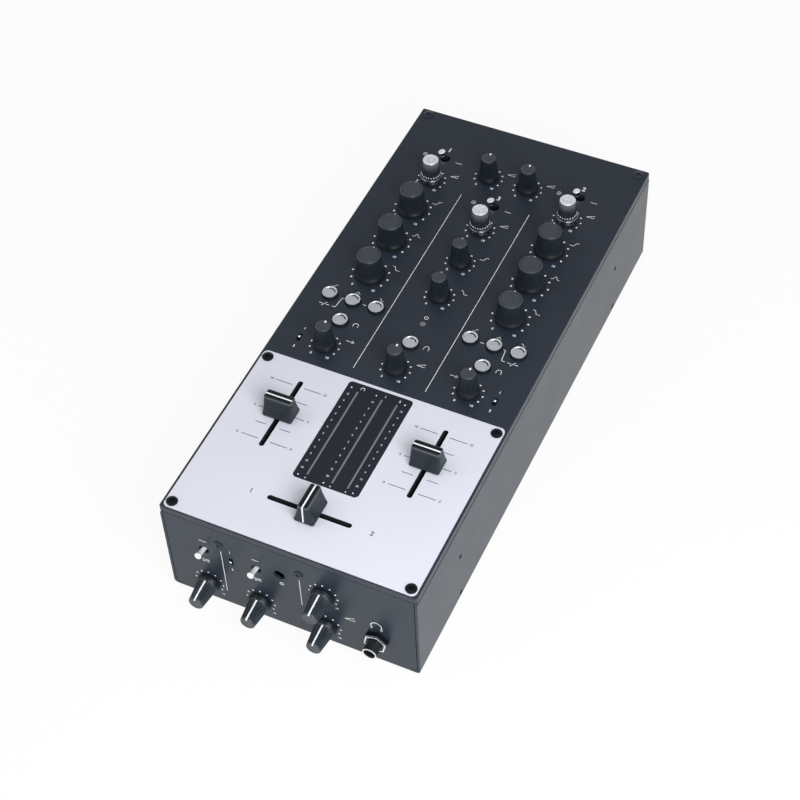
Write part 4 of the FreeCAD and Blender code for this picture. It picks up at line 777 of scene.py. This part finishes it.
def jackTrim():  # a dark hexagon in polar form with a bright band round its front edge as a painted highlight, and a turned mouth ring
    j = jackSizes
    half, skin, bevel = j["flats"] / 2 + j["skin"], j["skin"], j["bevel"]
    top = j["nut"] + skin

    def hexagon(turn, height):  # how far the nearest flat is at an angle
        return half / np.cos((turn - math.radians(j["turn"])) % (math.pi / 3) - math.pi / 6)

    wall = lathe([(1, 0.0), (1, j["wallStep"]), (1, top - bevel), (1 - bevel / half, top),
                  (1 - (bevel + j["glintBand"]) / half, top)], j["nutSides"], hexagon)
    inside = j["barrel"] - j["overlap"]
    inner = lathe([(inside, top), (inside, 0.0)], j["nutSides"])
    shape = Shape().grid(wall[2:]).grid(np.concatenate([wall[4:], inner, wall[:3]]), 1)
    r, b, z = j["barrel"] + skin, j["bore"], j["reach"] + skin
    back, edge = z - j["mouthDeep"], j["mouthEdge"]
    mouth = [(r, back), (r, z - edge), (r - edge, z), (b + j["mouthLip"], z), (b, back), (r, back)]
    return shape.grid(lathe(mouth, j["mouthSides"]))


jackX, _, jackZ = centreOf("headphone_jack")
piece("headphone_trim", jackTrim(), [nickel, blackSteel], "case", onFront, (jackX, frontY, jackZ))

# rear sockets: coloured collars, insulators and a knurled earth nut
rearSizes = {
    "first": -58.0, "pitch": 14.0, "columns": 5, "rows": (21.0, 39.0), "sides": 48,
    "collar": {"inner": 4.05, "outer": 5.26, "low": -0.2, "high": 0.86, "soft": 0.12},
    "insulator": {"inner": 1.65, "outer": 3.2, "low": 9.5, "high": 9.85, "soft": 0.04},
    "earth": (7.0, 54.3), "nut": {"bore": 2.02, "radius": 5.05, "low": 2.48, "high": 8.54, "sides": 160},
    "nutFoot": (0.35, 0.42), "nutBrow": (0.45, 0.54), "ribs": 40, "ribDepth": 0.012,
}


def turnedRing(inner, outer, low, high, soft):  # a square profile softened at its far end
    profile = [(inner, low), (outer, low), (outer, high - soft), (outer - soft, high), (inner + soft, high)]
    return lathe(profile + [(inner, high - soft), (inner, low)], rearSizes["sides"])


def rearTrim():  # two rings at each socket of the two rows, and a turned nut with fine ribs
    s = rearSizes
    shape = Shape()
    for k in range(s["columns"]):
        for row, z in enumerate(s["rows"]):
            rings = Shape().grid(turnedRing(**s["collar"]), row).grid(turnedRing(**s["insulator"]), 2)
            shape.add(rings.moved(onRear, (s["first"] + k * s["pitch"], rearY, z)))

    def knurl(turn, height):  # a cosine of many waves round the nut
        return 1 + s["ribDepth"] * np.cos(s["ribs"] * turn)

    r, bore, low, high = s["nut"]["radius"], s["nut"]["bore"], s["nut"]["low"], s["nut"]["high"]
    (footIn, footUp), (browIn, browDown) = s["nutFoot"], s["nutBrow"]
    nut = [(bore, low), (r - footIn, low), (r, low + footUp), (r, high - browDown), (r - browIn, high)]
    earth = Shape().grid(lathe(nut + [(bore, high), (bore, low)], s["nut"]["sides"], knurl), 3)
    return shape.add(earth.moved(onRear, (s["earth"][0], rearY, s["earth"][1])))


piece("rear_trim", rearTrim(), [redPlastic, whitePlastic, blackPlastic, chrome], "case")

# mains inlet pins and the marks on the power rocker
inletSizes = {"across": 47.0, "up": 28.0, "pin": (1.04, 2.04), "corner": 0.2, "tip": (0.25, 0.34),
              "pitch": 7.0, "drop": 2.0, "low": -14.5, "high": -0.46}


def inletPins():  # three rounded rectangles raised to a chamfered tip, the middle one lower
    s = inletSizes
    shape = Shape()
    (a, b), c, (inset, drop) = s["pin"], s["corner"], s["tip"]
    pin = loft([(a, b, c, s["low"]), (a, b, c, s["high"] - drop), (a - inset, b - inset, c, s["high"])])
    for k, lower in ((-1, 0), (0, s["drop"]), (1, 0)):
        shape.grid(pin + (k * s["pitch"], -lower, 0))
    return shape


inletAt = (inletSizes["across"], rearY, inletSizes["up"])
piece("inlet_pins", inletPins(), [tinPlate], "case", onRear, inletAt)

rockerSizes = {"lean": 8.0, "waist": 2.0, "rise": 0.9, "reach": 8.2, "place": 4.6, "bar": 3.2, "ring": 1.45,
               "ringSteps": 33, "width": 0.5, "ink": 0.05}


def rockerMarks():  # a bar and a ring, each laid on its own slope of the paddle
    s = rockerSizes
    slope = math.atan2(s["rise"], s["reach"])
    height = s["waist"] + s["rise"] * s["place"] / s["reach"]
    shape = Shape()
    bar = [(0, -s["bar"] / 2), (0, s["bar"] / 2)]
    ring = arc(s["ring"], 0, 360, s["ringSteps"])
    for end, path in ((-1, bar), (1, ring)):
        line = Shape().grid(track(path, s["width"], -s["ink"], s["ink"]))
        shape.add(line.moved(aboutX(slope * end), (0, end * s["place"], height)))
    return shape


rockerTurn = aboutX(-math.radians(90 - rockerSizes["lean"]))
piece("power_rocker_marks", rockerMarks(), [whiteInk], "power_rocker", rockerTurn, pivotOf("power_rocker"))
print("sockets, inlet and rocker finished")

# printed marks: dots, lines, plain numbers and simple signs, a hair proud of the face
inkSizes = {"sunk": 0.05, "proud": 0.03, "dot": 0.62, "smallDot": 0.54, "dotSides": 8, "fine": 0.34,
            "line": 0.34, "scale": 0.42, "sign": 0.32, "thinSign": 0.28, "number": 2.2}
signs = {
    "high": [[(-1, -0.5), (-0.1, -0.5), (0.4, 0.5), (1, 0.5)]],
    "mid": [[(-1, -0.5), (-0.5, -0.4), (0, 0.5), (0.5, -0.4), (1, -0.5)]],
    "low": [[(-1, 0.5), (-0.4, 0.5), (0.1, -0.5), (1, -0.5)]],
    "level": [[(-1, -0.45), (1, -0.45), (1, 0.45), (-1, -0.45)]],
    "send": [[(-1, 0), (0.9, 0)], [(0.4, 0.45), (1, 0), (0.4, -0.45)]],
    "swap": [[(-1, 0.3), (0.9, 0.3)], [(0.5, 0.65), (1, 0.3)],
             [(1, -0.3), (-0.9, -0.3)], [(-0.5, -0.65), (-1, -0.3)]],
    "mute": [[(-1, 0), (-0.35, 0)], [(0.35, 0), (1, 0)], [(-0.35, -0.5), (0.35, 0.5)]],
    "phones": [arc(0.85, -10, 190), [(-0.85, -0.1), (-0.85, -0.8)], [(0.85, -0.1), (0.85, -0.8)]],
    "power": [arc(0.8, 125, 415), [(0, 0.1), (0, 1)]],
    "disc": [arc(0.55, 0, 360), arc(0.12, 0, 360, 7)],
    "wire": [[(-1, 0), (1, 0)]],
}


def dot(shape, x, y, radius):  # a small disc raised from just under the face
    turn = angles(inkSizes["dotSides"])
    edge = np.column_stack([x + radius * np.cos(turn), y + radius * np.sin(turn)])
    return shape.grid(capped(np.stack([atHeight(edge, z) for z in (-inkSizes["sunk"], inkSizes["proud"])])))


def stroke(shape, path, width, slot=0):  # a printed line along a path
    return shape.grid(track(path, width, -inkSizes["sunk"], inkSizes["proud"]), slot)


def dots(shape, x, y, radius, step, size):  # nine dots round a knob, a step of so many degrees apart
    for a in np.radians(np.arange(-4, 5) * step):
        dot(shape, x + radius * math.sin(a), y + radius * math.cos(a), size)


def sign(shape, name, x, y, size, width=inkSizes["sign"]):  # the strokes of a sign, scaled about x and y
    for path in signs[name]:
        stroke(shape, np.array(path) * size + (x, y), width)


def number(shape, text, x, y, size=inkSizes["number"], slot=0):
    digits(shape, text, size, x, y, inkSizes["proud"], slot)


# places are measured from the middle of each control, and sizes are half of a sign's width
panelMarks = {
    "tone": {"ring": 11.0, "step": 30, "dot": inkSizes["dot"], "zero": (-6.4, -10.8), "ten": (6.8, -10.9),
             "sign": (11.8, 10.2), "size": 2.6},
    "small": {"ring": 8.5, "step": 29.2, "dot": inkSizes["smallDot"], "zero": (-4.9, -7.9),
              "ten": (5.2, -7.9), "sign": (12.0, 8.0), "size": 2.4},
    "knobSigns": {"high": "high", "mid": "mid", "low": "low", "effect": "send"},
    "cue": (9.6, 0.6, 1.7), "cut": (7.4, 1.5), "channel": (7.6, 4.6), "disc": (-12.6, -1.0, 2.2),
    "wire": (9.6, -1.0, 2.0), "power": (0, 8.0, 1.4),
}


def panelPrint():  # dots, two end numbers and a sign at each knob, and signs beside the other controls
    p = Shape()
    for node in topKnobs:
        x, y, _ = centreOf(node)
        m = panelMarks["tone" if node in toneKnobs else "small"]
        dots(p, x, y, m["ring"], m["step"], m["dot"])
        number(p, "0", x + m["zero"][0], y + m["zero"][1])
        number(p, "10", x + m["ten"][0], y + m["ten"][1])
        kind = panelMarks["knobSigns"].get(node.split("_")[1], "level")
        side = -1 if node == "knob_effect_2" else 1
        sign(p, kind, x + side * m["sign"][0], y + m["sign"][1], m["size"])
    for node in buttons:
        x, y, _ = centreOf(node)
        kind = node.split("_")[1]
        if kind == "cue":
            across, up, size = panelMarks["cue"]
            sign(p, "phones", x + across, y + up, size)
        else:
            up, size = panelMarks["cut"]
            sign(p, kind, x, y + up, size, inkSizes["thinSign"])
    for text in ("1", "2", "3"):
        x, y, _ = pivotOf("toggle_input_" + text) - (toggleSizes["shift"], 0, 0)
        up, size = panelMarks["channel"]
        number(p, text, x, y + up, size)
        for kind in ("disc", "wire"):
            across, up, size = panelMarks[kind]
            sign(p, kind, x + across, y + up, size)
    sign(p, "power", *panelMarks["power"])
    return p


panelRules = {"dividers": (-22.0, 22.0), "ends": (107.0, -42.0), "column": 44.0, "mute": (14.5, -4.9, 3.2),
              "links": (((5.6, 3.0), (6.9, 3.0)), ((6.8, 3.1), (7.6, -4.9)), ((7.5, -4.8), (9.6, -4.8)),
                        ((-6.4, 3.0), (-8.4, 3.0))),
              "slideNumbers": (("1", -26.4), ("2", -40.4)), "slideColumn": 60.0, "slideSize": 2.4}


def panelLines():  # two dividers, and the lines that link the cut buttons, mirrored about the middle
    p = Shape()
    m = panelRules
    for x in m["dividers"]:
        stroke(p, [(x, y) for y in m["ends"]], inkSizes["line"])
    for side in (-1, 1):
        middle = side * m["column"]
        for link in m["links"]:
            stroke(p, [(middle + side * across, y) for across, y in link], inkSizes["fine"])
        across, y, size = m["mute"]
        sign(p, "mute", middle + side * across, y, size)
        for text, y in m["slideNumbers"]:
            number(p, text, side * m["slideColumn"], y, m["slideSize"])
    return p


panelInk = panelPrint().add(panelLines())
piece("panel_print", panelInk, [whiteInk], "case", onTop, (0, 0, topZ))

plateMarks = {"column": 44.0, "step": 10.3, "long": (3.6, 13.9), "short": (4.2, 10.6), "numberGap": 2.4,
              "channels": (("1", -34.5), ("2", 36.5)), "channelSize": 4.0}


def platePrint():  # five lines to each side of a channel fader, every second one long and numbered
    p = Shape()
    m = plateMarks
    for column in (-m["column"], m["column"]):
        for k in range(-2, 3):
            near, far = m["long"] if k % 2 == 0 else m["short"]
            y = centreOf("fader_cap_1")[1] + k * m["step"]
            for side in (-1, 1):
                stroke(p, [(column + side * near, y), (column + side * far, y)], inkSizes["scale"])
                if k % 2 == 0:
                    number(p, str(5 * (k + 2) // 2), column + side * (far + m["numberGap"]), y)
    for text, x in m["channels"]:
        number(p, text, x, centreOf("fader_cap_cross")[1], m["channelSize"], 1)
    return p


piece("plate_print", platePrint(), [greyInk, darkInk], "case", onTop, (0, 0, topZ))

meterMarks = {"bars": (-12.0, 2.75, 11.9), "barWidth": 1.05, "barEnds": (5.8, 3.9),
              "columns": (-16.6, -1.5, 15.9), "rows": (4.2, 2.2), "number": 1.65,
              "heads": 3.1, "tails": 1.5, "tailDot": 0.4, "endDot": 0.45,
              "scale": ("12", "9", "6", "4", "2", "0", "2", "4", "6", "9", "12", "20"),
              "phones": (-10.2, 1.2), "channels": ((3.6, "1"), (12.3, "2"))}


def meterPrint():  # three light bars with a numbered scale beside each, read through the smoked window
    p = Shape()
    m = meterMarks
    front, rear = [corner[1] for corner in boxOf("meter_window")]
    for x in m["bars"]:
        stroke(p, [(x, rear - m["barEnds"][0]), (x, front + m["barEnds"][1])], m["barWidth"], 1)
        dot(p, x, front + m["tails"], m["tailDot"])
    rows = np.linspace(rear - m["rows"][0], front + m["rows"][1], len(m["scale"]) + 2)
    for x in m["columns"]:
        for y in rows[[0, -1]]:
            dot(p, x, y, m["endDot"])
        for text, y in zip(m["scale"], rows[1:-1]):
            number(p, text, x, y, m["number"], 2)
    x, size = m["phones"]
    sign(p, "phones", x, rear - m["heads"], size, inkSizes["thinSign"])
    for x, text in m["channels"]:
        number(p, text, x, rear - m["heads"])
    return p


piece("meter_print", meterPrint(), [whiteInk, meterGrey, scaleInk], "case",
      onTop, (0, 0, topZ))

frontMarks = {"ring": 8.4, "step": 30, "zero": (-7.0, -8.2), "ten": (7.4, -8.2), "endSize": 1.8,
              "lines": (((-40.4, 51.6), (-40.4, 15.0)), ((6.4, 52.0), (6.4, 28.8))),
              "levers": (-51.0, -19.4), "leverSigns": (("wire", 55.2), ("swap", 37.6)), "leverSize": 2.2,
              "signs": (("disc", -4.6, 42.4, 2.0), ("level", 34.6, 33.0, 3.0)),
              "numbers": (("1", -34.7, 53.6), ("2", -34.7, 38.0)), "numberSize": 2.4,
              "phones": (50.4, 34.9, 3.7, 0.5),
              "pads": (47.4, 53.4), "padEnds": (32.0, 34.2), "padWidth": 1.1}


def frontPrint():  # dots and end numbers round the knobs, two dividers, and signs beside the rest
    p = Shape()
    m = frontMarks
    for node in frontKnobs:
        x, _, z = centreOf(node)
        dots(p, x, z, m["ring"], m["step"], inkSizes["smallDot"])
        number(p, "0", x + m["zero"][0], z + m["zero"][1], m["endSize"])
        number(p, "10", x + m["ten"][0], z + m["ten"][1], m["endSize"])
    for line in m["lines"]:
        stroke(p, line, inkSizes["line"])
    for x in m["levers"]:
        for kind, z in m["leverSigns"]:
            sign(p, kind, x, z, m["leverSize"])
    for text, x, z in m["numbers"]:
        number(p, text, x, z, m["numberSize"])
    for kind, x, z, size in m["signs"]:
        sign(p, kind, x, z, size)
    sign(p, "phones", *m["phones"])
    for x in m["pads"]:
        stroke(p, [(x, z) for z in m["padEnds"]], m["padWidth"])
    return p


piece("front_print", frontPrint(), [whiteInk], "case", onFront, (0, frontY, 0))
print("marks printed")

# stage, light and camera: the stage and lamps are in metres, the camera's place in millimetres
stageSizes = {"floorHalf": 3.0, "floorTone": 0.86, "floorRough": 0.9, "glow": 0.92, "horizon": 1.0,
              "zenith": 0.22, "fade": (0.15, 0.65), "overhead": (0.70, 0.88, 0.0, 0.32)}
lampSizes = {"keyLamp": {"place": (0.43, -0.46, 0.53), "aim": (0, -0.07, 0), "size": 0.5, "power": 5.1},
             "fillLamp": {"place": (-1.2, -0.7, 1.2), "aim": (0, 0, 0), "size": 1.2, "power": 5}}
cameraSizes = {"sensor": 36.0, "lens": 87.64, "azimuth": 27.308, "elevation": 50.187, "roll": -3.079,
               "place": (325.4, -660.4, 894.5), "clip": (0.01, 50)}


def softLamp(name, place, aim, size, power):  # a round area lamp turned to its aim
    lamp = bpy.data.lights.new(name, "AREA")
    lamp.shape, lamp.size, lamp.energy = "DISK", size, power
    obj = bpy.data.objects.new(name, lamp)
    obj.location = place
    obj.rotation_euler = (Vector(aim) - Vector(place)).to_track_quat("-Z", "Y").to_euler()
    bpy.context.scene.collection.objects.link(obj)


def makeFloor():  # a pale floor that looks white to the camera, in metal and through glass
    h = stageSizes["floorHalf"]
    mesh = bpy.data.meshes.new("floor")
    mesh.from_pydata([(-h, -h, 0), (h, -h, 0), (h, h, 0), (-h, h, 0)], [], [(0, 1, 2, 3)])
    f = Finish("paleFloor", Roughness=stageSizes["floorRough"], Base_Color=grey(stageSizes["floorTone"]))
    seen = f.node("ShaderNodeLightPath", out="Is Camera Ray")
    for ray in ("Is Glossy Ray", "Is Transmission Ray"):
        seen = seen.max(f.node("ShaderNodeLightPath", out=ray))
    white = f.node("ShaderNodeEmission", None, {"Color": grey(1), "Strength": 1.0})
    paint = Value(f, f.shader.outputs[0])
    both = f.node("ShaderNodeMixShader", None, {0: seen * stageSizes["glow"], 1: paint, 2: white})
    f.plug(f.tree.nodes["Material Output"].inputs["Surface"], both)
    mesh.materials.append(f.mat)
    obj = bpy.data.objects.new("floor", mesh)
    bpy.context.scene.collection.objects.link(obj)


def makeSky():  # a studio dome, white at the horizon and greyer above, with a soft box overhead
    world = bpy.data.worlds.new("studio")
    bpy.context.scene.world = world
    world.use_nodes = True
    tree = world.node_tree
    split = tree.nodes.new("ShaderNodeSeparateXYZ")
    tree.links.new(tree.nodes.new("ShaderNodeTexCoord").outputs["Generated"], split.inputs[0])
    total = tree.nodes.new("ShaderNodeMath")
    dome = stageSizes["fade"] + (stageSizes["horizon"], stageSizes["zenith"])
    for k, ends in enumerate((dome, stageSizes["overhead"])):
        fade = tree.nodes.new("ShaderNodeMapRange")
        fade.interpolation_type = "SMOOTHSTEP"
        for name, value in zip(("From Min", "From Max", "To Min", "To Max"), ends):
            fade.inputs[name].default_value = value
        tree.links.new(split.outputs["Z"], fade.inputs["Value"])
        tree.links.new(fade.outputs["Result"], total.inputs[k])
    tree.nodes["Background"].inputs["Color"].default_value = grey(1)
    tree.links.new(total.outputs[0], tree.nodes["Background"].inputs["Strength"])


def makeCamera():  # looks along the azimuth and elevation, turned by the roll about its own axis
    c = cameraSizes
    cam = bpy.data.objects.new("camera", bpy.data.cameras.new("camera"))
    cam.data.sensor_width, cam.data.lens = c["sensor"], c["lens"]
    a, e, r = [math.radians(c[key]) for key in ("azimuth", "elevation", "roll")]
    back = Vector((math.sin(a) * math.cos(e), -math.cos(a) * math.cos(e), math.sin(e)))
    right = Vector((math.cos(a), math.sin(a), 0))
    up = back.cross(right)
    side = right * math.cos(r) + up * math.sin(r)
    over = up * math.cos(r) - right * math.sin(r)
    turn = Matrix((side, over, back)).transposed().to_4x4()
    cam.matrix_world = Matrix.Translation(Vector(c["place"]) * mm) @ turn
    cam.data.clip_start, cam.data.clip_end = c["clip"]
    bpy.context.scene.collection.objects.link(cam)
    bpy.context.scene.camera = cam


makeFloor()
makeSky()
for name, lamp in lampSizes.items():
    softLamp(name, **lamp)
makeCamera()
bpy.context.scene.view_settings.view_transform = "Standard"
print("stage ready")
